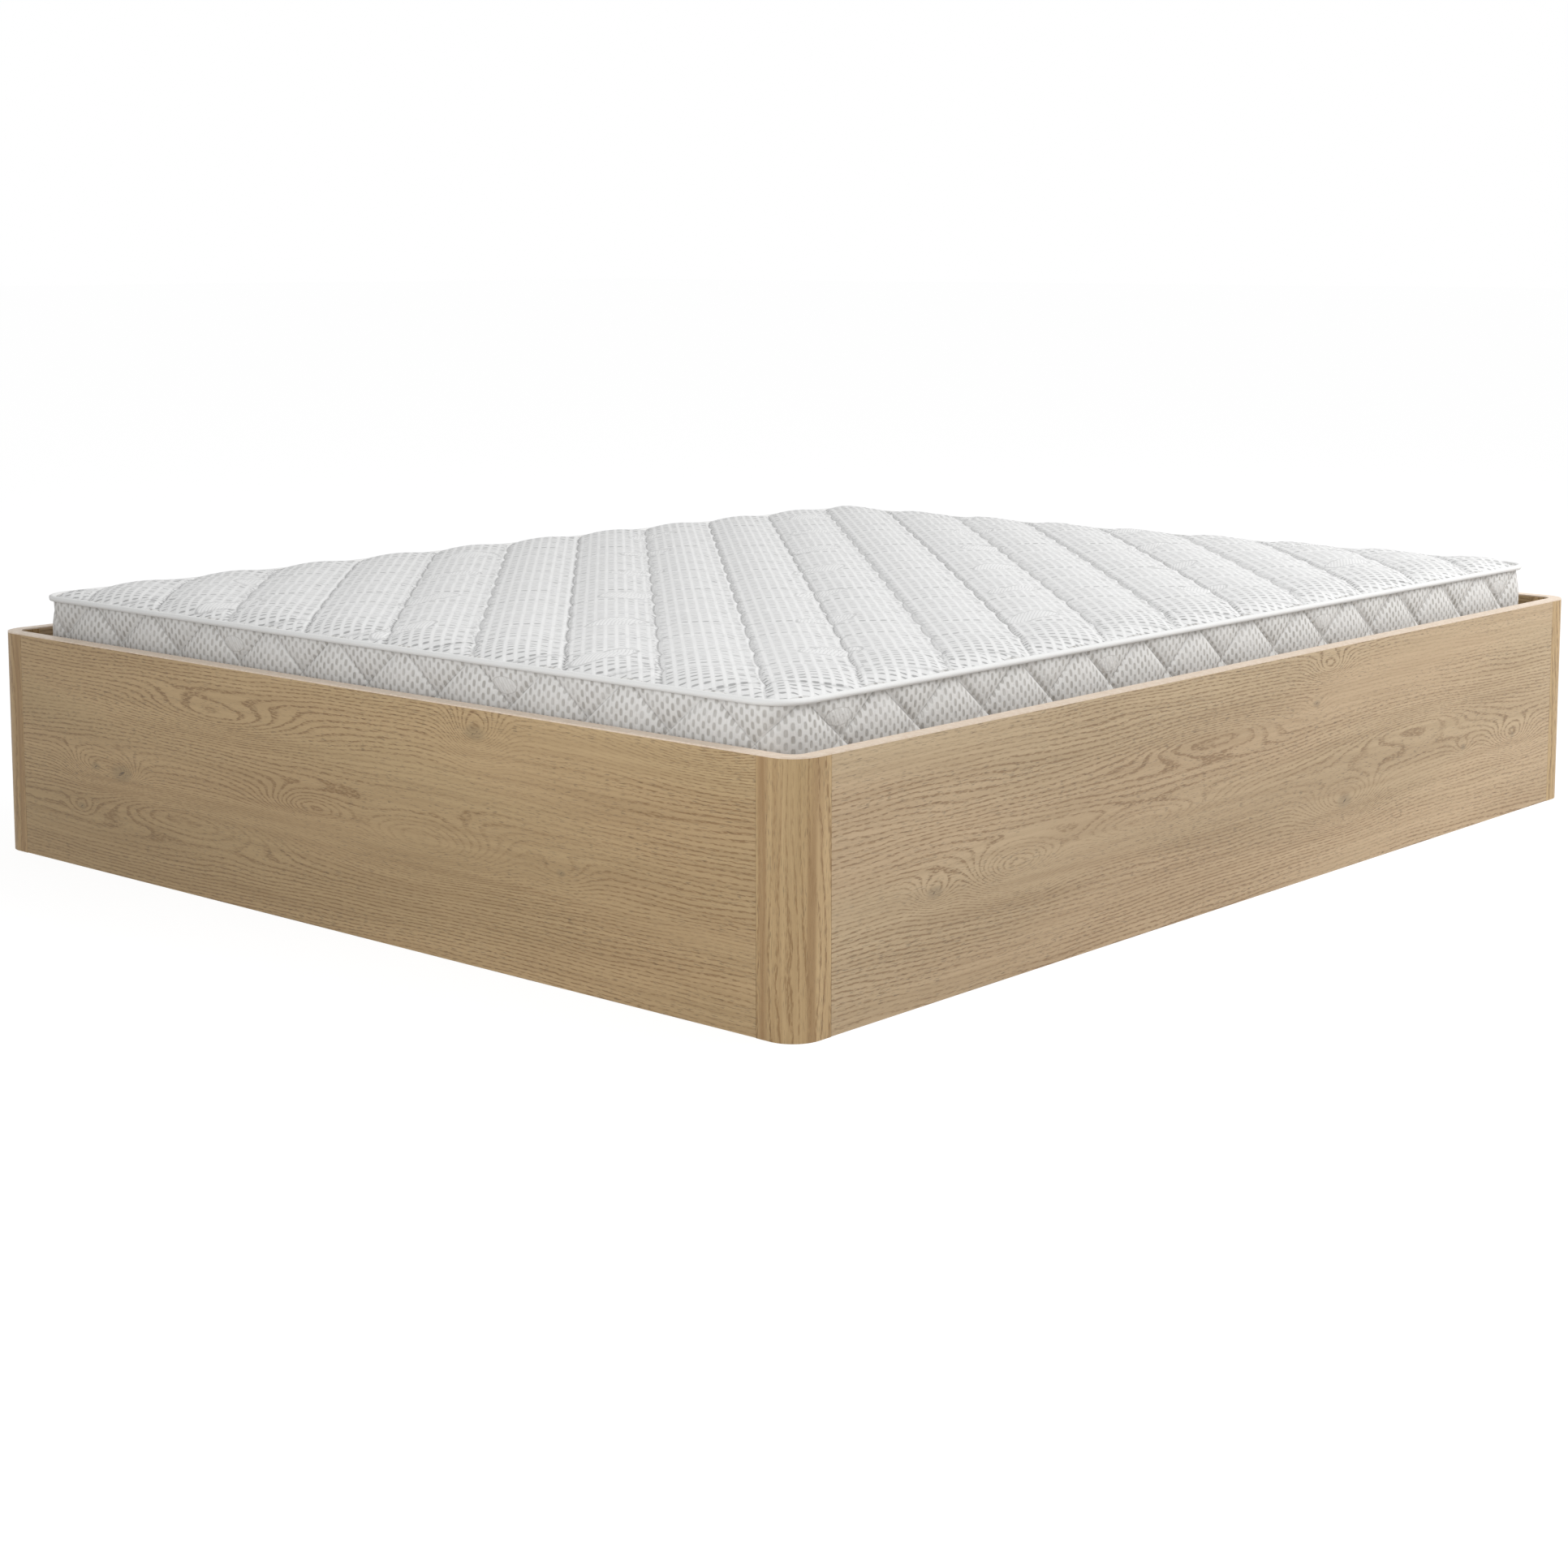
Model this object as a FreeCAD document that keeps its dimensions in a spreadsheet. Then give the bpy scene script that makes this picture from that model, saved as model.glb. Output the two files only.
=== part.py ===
import FreeCAD, Part
import math
import os
import re
import Sketcher

Vector = FreeCAD.Vector
Rotation = FreeCAD.Rotation
Placement = FreeCAD.Placement

# Axes: X across the bed, +Y to the head end, +Z up. The origin is on the floor under the middle.
# Setbacks are measured from the head panel's inner face towards the foot.

SIZES = [
    # box of four panels and four corner posts
    ("bed_width", 1720),
    ("bed_length", 2084),
    ("box_height", 358),
    ("panel_thickness", 22),
    ("panel_floor_gap", 0.5),
    ("edge_band_thickness", 2),
    ("post_arm", 66),
    ("post_radius", 43),
    ("seam_gap", 0.4),
    ("corner_play", 1),
    # cam locks and dowels between panels and posts
    ("cam_diameter", 15),
    ("cam_depth", 12.5),
    ("cam_setback", 34),
    ("cam_bolt_diameter", 7),
    ("cam_bolt_bite", 12),
    ("cam_low_height", 80),
    ("cam_high_height", 290),
    ("dowel_diameter", 8),
    ("dowel_length", 30),
    ("dowel_height", 185),
    ("drill_clearance", 0.1),
    # bottom of the storage space
    ("floor_underside", 35),
    ("floor_board_thickness", 10),
    ("floor_board_play", 1),
    ("cleat_size", 20),
    ("bearer_width", 40),
    ("glide_height", 3),
    ("glide_diameter", 30),
    ("glide_inset", 120),
    # screws into the panels
    ("screw_diameter", 4),
    ("screw_head_diameter", 8),
    ("screw_head_height", 2.2),
    ("screw_bite", 14),
    ("screw_end_margin", 60),
    # ledges that the lifting frame comes down on
    ("ledge_width", 40),
    ("foot_ledge_width", 50),
    ("ledge_thickness", 25),
    ("ledge_length", 1150),
    ("pad_thickness", 3),
    ("pad_width", 18),
    ("pad_length", 60),
    ("pad_gap", 0.2),
    # lifting frame of steel tube
    ("rail_underside", 196),
    ("rail_width", 50),
    ("rail_height", 30),
    ("rail_wall", 1.5),
    ("frame_end_gap", 30),
    ("plug_depth", 18),
    ("plug_flange", 2),
    ("plug_play", 0.2),
    # sprung slats in plastic holders
    ("slat_width", 53),
    ("slat_thickness", 8),
    ("slat_end_margin", 98),
    ("holder_wall", 3),
    ("holder_play", 0.3),
    ("holder_grip", 42),
    ("holder_divider", 4),
    # lift fitting, from the side panel inwards
    ("base_plate_thickness", 3),
    ("washer_thickness", 1.5),
    ("link_thickness", 5),
    ("bracket_thickness", 5),
    ("link_radius", 15),
    ("pin_diameter", 10),
    ("pin_head_diameter", 18),
    ("pin_head_height", 1.2),
    ("pin_clearance", 0.3),
    ("open_pivot_gap", 0.6),
    ("base_plate_low", 54),
    ("base_plate_margin", 26),
    # pivots of the lift fitting
    ("rear_base_setback", 298),
    ("rear_base_height", 128.1),
    ("rear_frame_setback", 178.6),
    ("rear_frame_height", 218.3),
    ("front_base_setback", 556.7),
    ("front_base_height", 142.5),
    ("front_frame_setback", 288.5),
    ("front_frame_height", 209),
    # gas spring
    ("spring_foot_setback", 150),
    ("spring_foot_height", 76),
    ("spring_tube_diameter", 18),
    ("spring_tube_wall", 1.5),
    ("spring_rod_diameter", 8),
    ("spring_rod_shown", 12),
    ("spring_stroke", 58),
    ("spring_end_length", 22),
    ("spring_eye_width", 12),
    ("spring_stud_diameter", 8),
    ("spring_side_gap", 2),
    # mattress
    ("mattress_side_gap", 38),
    ("mattress_end_gap", 20),
    ("mattress_corner", 50),
    ("mattress_rise", 173),
    ("mattress_crown", 16),
    ("mattress_play", 0.3),
    ("mattress_base_rise", 8),
    ("border_thickness", 12),
    ("border_draw", 5),
    ("border_draw_height", 20),
    ("piping_diameter", 7),
    ("channel_spacing", 128),
    ("channel_shift", -27),
    ("channel_depth", 3.5),
    ("channel_width", 16),
    # mattress stop at the head end and pull strap at the foot end
    ("stop_width", 260),
    ("stop_thickness", 3),
    ("stop_rise", 60),
    ("strap_width", 40),
    ("strap_thickness", 2.5),
    ("strap_gap", 4),
    ("strap_top_drop", 14),
    ("strap_plate_thickness", 2),
]

FLOOR_BOARDS = 3
SIDE_CLEAT_SCREWS = 6
END_CLEAT_SCREWS = 5
SLATS_PER_SIDE = 14
SPRING_HEAD_SHARE = 0.5

doc = FreeCAD.newDocument("storage_bed")
sheet = doc.addObject("Spreadsheet::Sheet", "Sizes")
for row, (alias, number) in enumerate(SIZES, start=1):
    sheet.set(f"A{row}", alias)
    sheet.set(f"B{row}", str(number))
    sheet.setAlias(f"B{row}", alias)
doc.recompute()

# Places worked out from the driving sizes, as formulas in a sheet of their own
PLACES = [
    ("half_width", "bed_width / 2"),
    ("half_length", "bed_length / 2"),
    ("inner_half_width", "bed_width / 2 - panel_thickness"),
    ("inner_half_length", "bed_length / 2 - panel_thickness"),
    ("corner_room", "post_radius - panel_thickness + corner_play"),
    ("mattress_width", "2 * (inner_half_width - mattress_side_gap)"),
    ("mattress_length", "2 * (inner_half_length - mattress_end_gap)"),
    ("panel_top", "box_height - edge_band_thickness"),
    ("end_panel_half", "bed_width / 2 - post_arm - seam_gap"),
    ("side_panel_half", "bed_length / 2 - post_arm - seam_gap"),
    ("fitting_room", "base_plate_thickness + 2 * washer_thickness + link_thickness + bracket_thickness"),
    ("frame_half_width", "bed_width / 2 - panel_thickness - fitting_room"),
    ("frame_half_length", "bed_length / 2 - panel_thickness - frame_end_gap"),
    ("rail_top", "rail_underside + rail_height"),
    ("ledge_top", "rail_underside - pad_gap - pad_thickness"),
    ("slat_underside", "rail_top + holder_wall"),
    ("holder_top", "slat_underside + slat_thickness + holder_wall"),
    ("mattress_underside", "holder_top + mattress_play"),
    ("top_piping_height", "mattress_underside + mattress_rise"),
    ("base_piping_height", "mattress_underside + mattress_base_rise"),
    ("plate_face", "bed_width / 2 - panel_thickness - base_plate_thickness"),
    ("link_outer_face", "plate_face - washer_thickness"),
    ("link_inner_face", "link_outer_face - link_thickness"),
    ("bracket_face", "frame_half_width + bracket_thickness"),
    ("spring_plane", "frame_half_width - spring_side_gap - spring_tube_diameter / 2"),
]

NAMES = [alias for alias, number in SIZES] + [alias for alias, text in PLACES]
PLACE_NAMES = [alias for alias, text in PLACES]


def formula(text):
    """Writes the sheet's name before each size or place that a formula uses."""
    def with_sheet(match):
        word = match.group(0)
        if word not in NAMES:
            return word
        return f"Places.{word}" if word in PLACE_NAMES else f"Sizes.{word}"
    return re.sub(r"[A-Za-z_]+", with_sheet, text)


places = doc.addObject("Spreadsheet::Sheet", "Places")
for row, (alias, text) in enumerate(PLACES, start=1):
    own = formula(text).replace("Places.", "")
    places.set(f"A{row}", alias)
    places.set(f"B{row}", f"={own}")
    places.setAlias(f"B{row}", alias)
doc.recompute()


def mm(name):
    """The number that a size or a place holds."""
    home = places if name in PLACE_NAMES else sheet
    return float(home.get(name))


nodes = []


def finished(item, label):
    item.Label = label
    nodes.append(item)
    return item


def bind(item, **formulas):
    for prop, text in formulas.items():
        item.setExpression(prop.replace("__", "."), formula(text))
    return item


def box(name, size, corner):
    """A box whose three sizes and lowest corner are formulas."""
    item = doc.addObject("Part::Box", name)
    bind(item, Length=size[0], Width=size[1], Height=size[2])
    bind(item, Placement__Base__x=corner[0], Placement__Base__y=corner[1], Placement__Base__z=corner[2])
    return item


def solids(name, shapes):
    """A piece, or a group of identical pieces, from shapes worked out in code."""
    item = doc.addObject("Part::Feature", name)
    item.Shape = shapes[0] if len(shapes) == 1 else Part.makeCompound(shapes)
    item.Placement = Placement()
    return item


def together(name, members):
    """Identical pieces that share one node."""
    item = doc.addObject("Part::Compound", name)
    item.Links = members
    return item


def drilled(name, blank, holes):
    """The blank less its holes."""
    tool = solids(name + "_holes", holes)
    item = doc.addObject("Part::Cut", name)
    item.Base = blank
    item.Tool = tool
    return item


def rod(radius, start, end):
    along = end - start
    return Part.makeCylinder(radius, along.Length, start, along)


def block(low, high):
    span = high - low
    return Part.makeBox(span.x, span.y, span.z, low)


def evenly(first, last, count):
    step = (last - first) / (count - 1)
    return [first + step * index for index in range(count)]


# Screws: a countersunk head at the face, and a shank that goes on into the panel behind
def screw(face, direction, reach):
    """A screw whose head lies flush in the face; reach is its whole length."""
    head = Part.makeCone(
        mm("screw_head_diameter") / 2, mm("screw_diameter") / 2, mm("screw_head_height"), face, direction)
    shank = rod(mm("screw_diameter") / 2, face, face + direction * reach)
    return head.fuse(shank).removeSplitter()


def screw_hole(face, direction, reach):
    clearance = mm("drill_clearance")
    head = Part.makeCone(
        mm("screw_head_diameter") / 2 + clearance, mm("screw_diameter") / 2 + clearance,
        mm("screw_head_height"), face, direction)
    shank = rod(mm("screw_diameter") / 2 + clearance, face, face + direction * (reach + clearance))
    return head.fuse(shank)


ALONG_X = Vector(1, 0, 0)
ALONG_Y = Vector(0, 1, 0)
ALONG_Z = Vector(0, 0, 1)
SIDES = (("left", -1), ("right", 1))
ENDS = (("foot", -1), ("head", 1))


# Screw places: each is a face point, a direction into the panel and a reach
def side_cleat_screws(side):
    height = mm("floor_underside") - mm("cleat_size") / 2
    far = mm("inner_half_length") - mm("cleat_size") - mm("screw_end_margin")
    face = mm("inner_half_width") - mm("cleat_size")
    reach = mm("cleat_size") + mm("screw_bite")
    return [(Vector(side * face, along, height), ALONG_X * side, reach)
            for along in evenly(-far, far, SIDE_CLEAT_SCREWS)]


def end_cleat_screws(end):
    height = mm("floor_underside") - mm("cleat_size") / 2
    far = mm("inner_half_width") - mm("cleat_size") - mm("screw_end_margin")
    face = mm("inner_half_length") - mm("cleat_size")
    reach = mm("cleat_size") + mm("screw_bite")
    return [(Vector(across, end * face, height), ALONG_Y * end, reach)
            for across in evenly(-far, far, END_CLEAT_SCREWS)]


def side_ledge_screws(side):
    height = mm("ledge_top") - mm("ledge_thickness") / 2
    start = -mm("inner_half_length") + mm("foot_ledge_width")
    margin = mm("screw_end_margin")
    face = mm("inner_half_width") - mm("ledge_width")
    reach = mm("ledge_width") + mm("screw_bite")
    stretch = evenly(start + margin, start + mm("ledge_length") - margin, SIDE_CLEAT_SCREWS)
    return [(Vector(side * face, along, height), ALONG_X * side, reach) for along in stretch]


def foot_ledge_screws():
    height = mm("ledge_top") - mm("ledge_thickness") / 2
    far = mm("inner_half_width") - mm("ledge_width") - mm("screw_end_margin")
    face = mm("inner_half_length") - mm("foot_ledge_width")
    reach = mm("foot_ledge_width") + mm("screw_bite")
    return [(Vector(across, -face, height), -ALONG_Y, reach)
            for across in evenly(-far, far, END_CLEAT_SCREWS)]


def setback(distance):
    """The Y of a place that lies this far from the head panel's inner face."""
    return mm("inner_half_length") - distance


def base_plate_outline():
    """Corners of the base plate, as Y and Z, from the pivots that it carries."""
    margin = mm("base_plate_margin")
    rear = mm("spring_foot_setback") - margin
    front = mm("front_base_setback") + margin
    low = mm("base_plate_low")
    high = mm("front_base_height") + margin
    return [(setback(rear), low), (setback(front), low), (setback(front), high),
            (setback(mm("rear_base_setback") - margin), high),
            (setback(rear), mm("spring_foot_height") + margin)]


def base_plate_screws(side):
    edge = mm("base_plate_margin") / 2
    rear = mm("spring_foot_setback") - edge
    front = mm("front_base_setback") + edge
    low = mm("base_plate_low") + edge
    high = mm("front_base_height") + edge
    middle = (mm("rear_base_setback") + mm("front_base_setback")) / 2
    spots = [(rear, low), (mm("rear_base_setback"), low), (middle, low), (front, low),
             (rear, mm("spring_foot_height") + edge), (middle, high), (front, high)]
    reach = mm("base_plate_thickness") + mm("screw_bite")
    return [(Vector(side * mm("plate_face"), setback(back), height), ALONG_X * side, reach)
            for back, height in spots]


# Cam locks and dowels across each seam between a panel and a post
def seam_places():
    """For each seam: its panel, its middle, the way from the post into the panel, the way indoors."""
    seams = []
    middle_y = mm("half_length") - mm("panel_thickness") / 2
    middle_x = mm("half_width") - mm("panel_thickness") / 2
    for end_name, end in ENDS:
        for side_name, side in SIDES:
            post = f"corner_post_{end_name}_{side_name}"
            seams.append((f"{end_name}_panel", post,
                          Vector(side * (mm("half_width") - mm("post_arm")), end * middle_y, 0),
                          ALONG_X * -side, ALONG_Y * -end))
            seams.append((f"{side_name}_side_panel", post,
                          Vector(side * middle_x, end * (mm("half_length") - mm("post_arm")), 0),
                          ALONG_Y * -end, ALONG_X * -side))
    return seams


def cam_heights():
    return (mm("cam_low_height"), mm("cam_high_height"))


def cam_disc(place, inwards, indoors, height, slack):
    centre = place + inwards * mm("cam_setback") + ALONG_Z * height + indoors * (mm("panel_thickness") / 2)
    return rod(mm("cam_diameter") / 2 + slack, centre, centre - indoors * (mm("cam_depth") + slack))


def cam_bolt(place, inwards, height, slack):
    axis = place + ALONG_Z * height
    head_end = axis + inwards * (mm("cam_setback") - mm("cam_diameter") / 2 + slack)
    bite_end = axis - inwards * (mm("cam_bolt_bite") + slack)
    return rod(mm("cam_bolt_diameter") / 2 + slack, bite_end, head_end)


def dowel(place, inwards, slack):
    axis = place + ALONG_Z * mm("dowel_height")
    half = mm("dowel_length") / 2 + slack
    return rod(mm("dowel_diameter") / 2 + slack, axis - inwards * half, axis + inwards * half)


def seam_holes(wanted):
    """The holes for cams, bolts and dowels in one panel or post."""
    slack = mm("drill_clearance")
    holes = []
    for panel, post, place, inwards, indoors in seam_places():
        if wanted not in (panel, post):
            continue
        for height in cam_heights():
            holes.append(cam_bolt(place, inwards, height, slack))
            if wanted == panel:
                holes.append(cam_disc(place, inwards, indoors, height, slack))
        holes.append(dowel(place, inwards, slack))
    return holes


# Four panels with their edge bands
def make_panels():
    tall = "panel_top - panel_floor_gap"
    end_bands, side_bands = [], []
    for name, end in ENDS:
        near = "-half_length" if end < 0 else "inner_half_length"
        blank = box(name + "_blank", ("2 * end_panel_half", "panel_thickness", tall),
                    ("-end_panel_half", near, "panel_floor_gap"))
        holes = seam_holes(name + "_panel")
        screws = end_cleat_screws(end) + (foot_ledge_screws() if end < 0 else [])
        holes += [screw_hole(*place) for place in screws]
        finished(drilled(name + "_board", blank, holes), name + "_panel")
        end_bands.append(box(name + "_band", ("2 * end_panel_half", "panel_thickness", "edge_band_thickness"),
                             ("-end_panel_half", near, "panel_top")))
    for name, side in SIDES:
        near = "-half_width" if side < 0 else "inner_half_width"
        blank = box(name + "_blank", ("panel_thickness", "2 * side_panel_half", tall),
                    (near, "-side_panel_half", "panel_floor_gap"))
        holes = seam_holes(name + "_side_panel")
        screws = side_cleat_screws(side) + side_ledge_screws(side) + base_plate_screws(side)
        holes += [screw_hole(*place) for place in screws]
        finished(drilled(name + "_board", blank, holes), name + "_side_panel")
        side_bands.append(box(name + "_band", ("panel_thickness", "2 * side_panel_half", "edge_band_thickness"),
                              (near, "-side_panel_half", "panel_top")))
    finished(together("end_bands", end_bands), "end_panel_edge_bands")
    finished(together("side_bands", side_bands), "side_panel_edge_bands")


def origin_plane(body, role):
    return [plane for plane in body.Origin.OriginFeatures if plane.Role == role][0]


def new_sketch(body, name, role="XY_Plane"):
    sketch = body.newObject("Sketcher::SketchObject", name)
    sketch.AttachmentSupport = (origin_plane(body, role), [""])
    sketch.MapMode = "FlatFace"
    return sketch


def named(sketch, label, text, *facts):
    """A dimension of the sketch that follows a formula."""
    index = sketch.addConstraint(Sketcher.Constraint(*facts))
    sketch.renameConstraint(index, label)
    sketch.setExpression(f"Constraints.{label}", formula(text))


def pad(body, sketch, thickness):
    item = body.newObject("PartDesign::Pad", sketch.Name + "_pad")
    item.Profile = sketch
    bind(item, Length=thickness)
    sketch.Visibility = False
    return item


# Corner posts: an L of the panels' thickness, rounded inside and outside about one centre
def corner_profile(body, name):
    arm, radius, wall = mm("post_arm"), mm("post_radius"), mm("panel_thickness")
    sketch = new_sketch(body, name)
    inner = radius - wall
    centre = Vector(radius, radius, 0)
    corners = [Vector(*spot, 0) for spot in (
        (radius, 0), (arm, 0), (arm, wall), (radius, wall), (wall, radius), (wall, arm), (0, arm), (0, radius))]
    half_turn, full_quarter = math.pi, 3 * math.pi / 2
    circle_out = Part.Circle(centre, ALONG_Z, radius)
    circle_in = Part.Circle(centre, ALONG_Z, inner)
    edges = [
        Part.LineSegment(corners[0], corners[1]), Part.LineSegment(corners[1], corners[2]),
        Part.LineSegment(corners[2], corners[3]), Part.ArcOfCircle(circle_in, half_turn, full_quarter),
        Part.LineSegment(corners[4], corners[5]), Part.LineSegment(corners[5], corners[6]),
        Part.LineSegment(corners[6], corners[7]), Part.ArcOfCircle(circle_out, half_turn, full_quarter)]
    for edge in edges:
        sketch.addGeometry(edge, False)
    start, end, middle = 1, 2, 3
    for first, second in ((0, 1), (1, 2), (4, 5), (5, 6)):
        sketch.addConstraint(Sketcher.Constraint("Coincident", first, end, second, start))
    sketch.addConstraint(Sketcher.Constraint("Tangent", 2, end, 3, end))
    sketch.addConstraint(Sketcher.Constraint("Tangent", 3, start, 4, start))
    sketch.addConstraint(Sketcher.Constraint("Tangent", 6, end, 7, start))
    sketch.addConstraint(Sketcher.Constraint("Tangent", 7, end, 0, start))
    sketch.addConstraint(Sketcher.Constraint("Coincident", 3, middle, 7, middle))
    for level in (0, 2, 5):
        sketch.addConstraint(Sketcher.Constraint("Horizontal", level))
    for upright in (1, 4, 6):
        sketch.addConstraint(Sketcher.Constraint("Vertical", upright))
    sketch.addConstraint(Sketcher.Constraint("PointOnObject", 0, end, -1))
    sketch.addConstraint(Sketcher.Constraint("PointOnObject", 6, start, -2))
    named(sketch, "radius", "post_radius", "Radius", 7, radius)
    named(sketch, "arm_x", "post_arm", "DistanceX", -1, 1, 0, end, arm)
    named(sketch, "arm_y", "post_arm", "DistanceY", -1, 1, 6, start, arm)
    named(sketch, "wall", "panel_thickness", "DistanceY", 1, start, 1, end, wall)
    return sketch


CORNERS = [("foot", "left", -1, -1, 0), ("foot", "right", 1, -1, 90),
           ("head", "right", 1, 1, 180), ("head", "left", -1, 1, 270)]


def corner_body(name, thickness):
    body = doc.addObject("PartDesign::Body", name)
    pad(body, corner_profile(body, name + "_profile"), thickness)
    return body


def stand_at_corner(item, side, end, turn, height):
    item.Placement = Placement(Vector(0, 0, 0), Rotation(ALONG_Z, turn))
    bind(item, Placement__Base__x=f"{side} * half_width", Placement__Base__y=f"{end} * half_length",
         Placement__Base__z=height)


def make_posts():
    bands = []
    for end_name, side_name, side, end, turn in CORNERS:
        label = f"corner_post_{end_name}_{side_name}"
        blank = corner_body(label + "_blank", "panel_top")
        stand_at_corner(blank, side, end, turn, "0")
        doc.recompute()
        finished(drilled(label + "_drilled", blank, seam_holes(label)), label)
        band = corner_body(label + "_band", "edge_band_thickness")
        stand_at_corner(band, side, end, turn, "panel_top")
        bands.append(band)
    finished(together("post_bands", bands), "corner_post_edge_bands")


# Cam locks and dowels themselves
def make_seam_hardware():
    cams, bolts, dowels = [], [], []
    for panel, post, place, inwards, indoors in seam_places():
        for height in cam_heights():
            cams.append(cam_disc(place, inwards, indoors, height, 0))
            bolts.append(cam_bolt(place, inwards, height, 0))
        dowels.append(dowel(place, inwards, 0))
    finished(solids("cams", cams), "cam_lock_discs")
    finished(solids("cam_bolts", bolts), "cam_lock_bolts")
    finished(solids("seam_dowels", dowels), "corner_dowels")


# Storage floor: boards on cleats and on two bearers with glides
def board_joints():
    """The Y of each joint between floor boards."""
    far = mm("inner_half_length")
    return evenly(-far, far, FLOOR_BOARDS + 1)[1:-1]


def corner_notches(end):
    """Cut-outs that take a floor board round the posts' inner corners."""
    room = mm("corner_room")
    low = mm("floor_underside")
    notches = []
    for side in (-1, 1):
        inner = Vector(side * (mm("inner_half_width") - room), end * (mm("inner_half_length") - room), low)
        outer = Vector(side * mm("half_width"), end * mm("half_length"), low + mm("floor_board_thickness"))
        near = Vector(min(inner.x, outer.x), min(inner.y, outer.y), inner.z)
        far = Vector(max(inner.x, outer.x), max(inner.y, outer.y), outer.z)
        notches.append(block(near, far))
    return notches


def make_floor():
    play = "floor_board_play"
    length = f"((2 * inner_half_length - {FLOOR_BOARDS + 1} * {play}) / {FLOOR_BOARDS})"
    boards, side_cleats, end_cleats = [], [], []
    for index in range(FLOOR_BOARDS):
        near = f"-inner_half_length + {play} + {index} * ({length} + {play})"
        board = box(f"floor_board_{index + 1}",
                    (f"2 * (inner_half_width - {play})", length, "floor_board_thickness"),
                    (f"-inner_half_width + {play}", near, "floor_underside"))
        boards.append(board)
    boards[0] = drilled("foot_board", boards[0], corner_notches(-1))
    boards[-1] = drilled("head_board", boards[-1], corner_notches(1))
    finished(together("boards", boards), "floor_boards")
    cleat_low = "floor_underside - cleat_size"
    for name, side in SIDES:
        near = "-inner_half_width" if side < 0 else "inner_half_width - cleat_size"
        blank = box(name + "_cleat_blank", ("cleat_size", "2 * (inner_half_length - corner_room)", "cleat_size"),
                    (near, "-inner_half_length + corner_room", cleat_low))
        holes = [screw_hole(*place) for place in side_cleat_screws(side)]
        side_cleats.append(drilled(name + "_cleat", blank, holes))
    for name, end in ENDS:
        near = "-inner_half_length" if end < 0 else "inner_half_length - cleat_size"
        blank = box(name + "_cleat_blank", ("2 * (inner_half_width - corner_room)", "cleat_size", "cleat_size"),
                    ("-inner_half_width + corner_room", near, cleat_low))
        holes = [screw_hole(*place) for place in end_cleat_screws(end)]
        end_cleats.append(drilled(name + "_cleat", blank, holes))
    finished(together("cleats_along", side_cleats), "side_floor_cleats")
    finished(together("cleats_across", end_cleats), "end_floor_cleats")
    bearers, glides = [], []
    reach = mm("inner_half_width") - mm("cleat_size") - mm("floor_board_play")
    half = mm("bearer_width") / 2
    for along in board_joints():
        bearers.append(block(Vector(-reach, along - half, mm("glide_height")),
                             Vector(reach, along + half, mm("floor_underside"))))
        for across in (-reach + mm("glide_inset"), 0, reach - mm("glide_inset")):
            spot = Vector(across, along, 0)
            glides.append(rod(mm("glide_diameter") / 2, spot, spot + ALONG_Z * mm("glide_height")))
    finished(solids("bearers", bearers), "floor_bearers")
    finished(solids("glides", glides), "bearer_glides")


# Ledges with felt pads
def make_ledges():
    low = "ledge_top - ledge_thickness"
    for name, side in SIDES:
        near = "-inner_half_width" if side < 0 else "inner_half_width - ledge_width"
        blank = box(name + "_ledge_blank", ("ledge_width", "ledge_length", "ledge_thickness"),
                    (near, "-inner_half_length + foot_ledge_width", low))
        holes = [screw_hole(*place) for place in side_ledge_screws(side)]
        finished(drilled(name + "_ledge", blank, holes), "frame_ledge_" + name)
    blank = box("foot_ledge_blank",
                ("2 * (inner_half_width - corner_room)", "foot_ledge_width", "ledge_thickness"),
                ("-inner_half_width + corner_room", "-inner_half_length", low))
    holes = [screw_hole(*place) for place in foot_ledge_screws()]
    finished(drilled("foot_ledge", blank, holes), "frame_ledge_foot")
    width, length = mm("pad_width"), mm("pad_length")
    top, bottom = mm("ledge_top") + mm("pad_thickness"), mm("ledge_top")
    pads = []
    rail_face = mm("frame_half_width")
    start = -mm("inner_half_length") + mm("foot_ledge_width")
    for side in (-1, 1):
        for along in (start + mm("ledge_length") / 4, start + 3 * mm("ledge_length") / 4):
            middle = side * (rail_face - width / 2)
            pads.append(block(Vector(middle - width / 2, along - length / 2, bottom),
                              Vector(middle + width / 2, along + length / 2, top)))
    foot_face = -mm("frame_half_length")
    for across in evenly(-rail_face / 2, rail_face / 2, 3):
        pads.append(block(Vector(across - length / 2, foot_face, bottom),
                          Vector(across + length / 2, foot_face + width, top)))
    finished(solids("pads", pads), "ledge_pads")


def make_panel_screws():
    spots = []
    for name, side in SIDES:
        spots += side_cleat_screws(side)
    for name, end in ENDS:
        spots += end_cleat_screws(end)
    finished(solids("floor_screws", [screw(*spot) for spot in spots]), "cleat_screws")
    spots = side_ledge_screws(-1) + side_ledge_screws(1) + foot_ledge_screws()
    finished(solids("ledge_fixings", [screw(*spot) for spot in spots]), "ledge_screws")
    spots = base_plate_screws(-1) + base_plate_screws(1)
    finished(solids("plate_fixings", [screw(*spot) for spot in spots]), "base_plate_screws")


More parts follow.
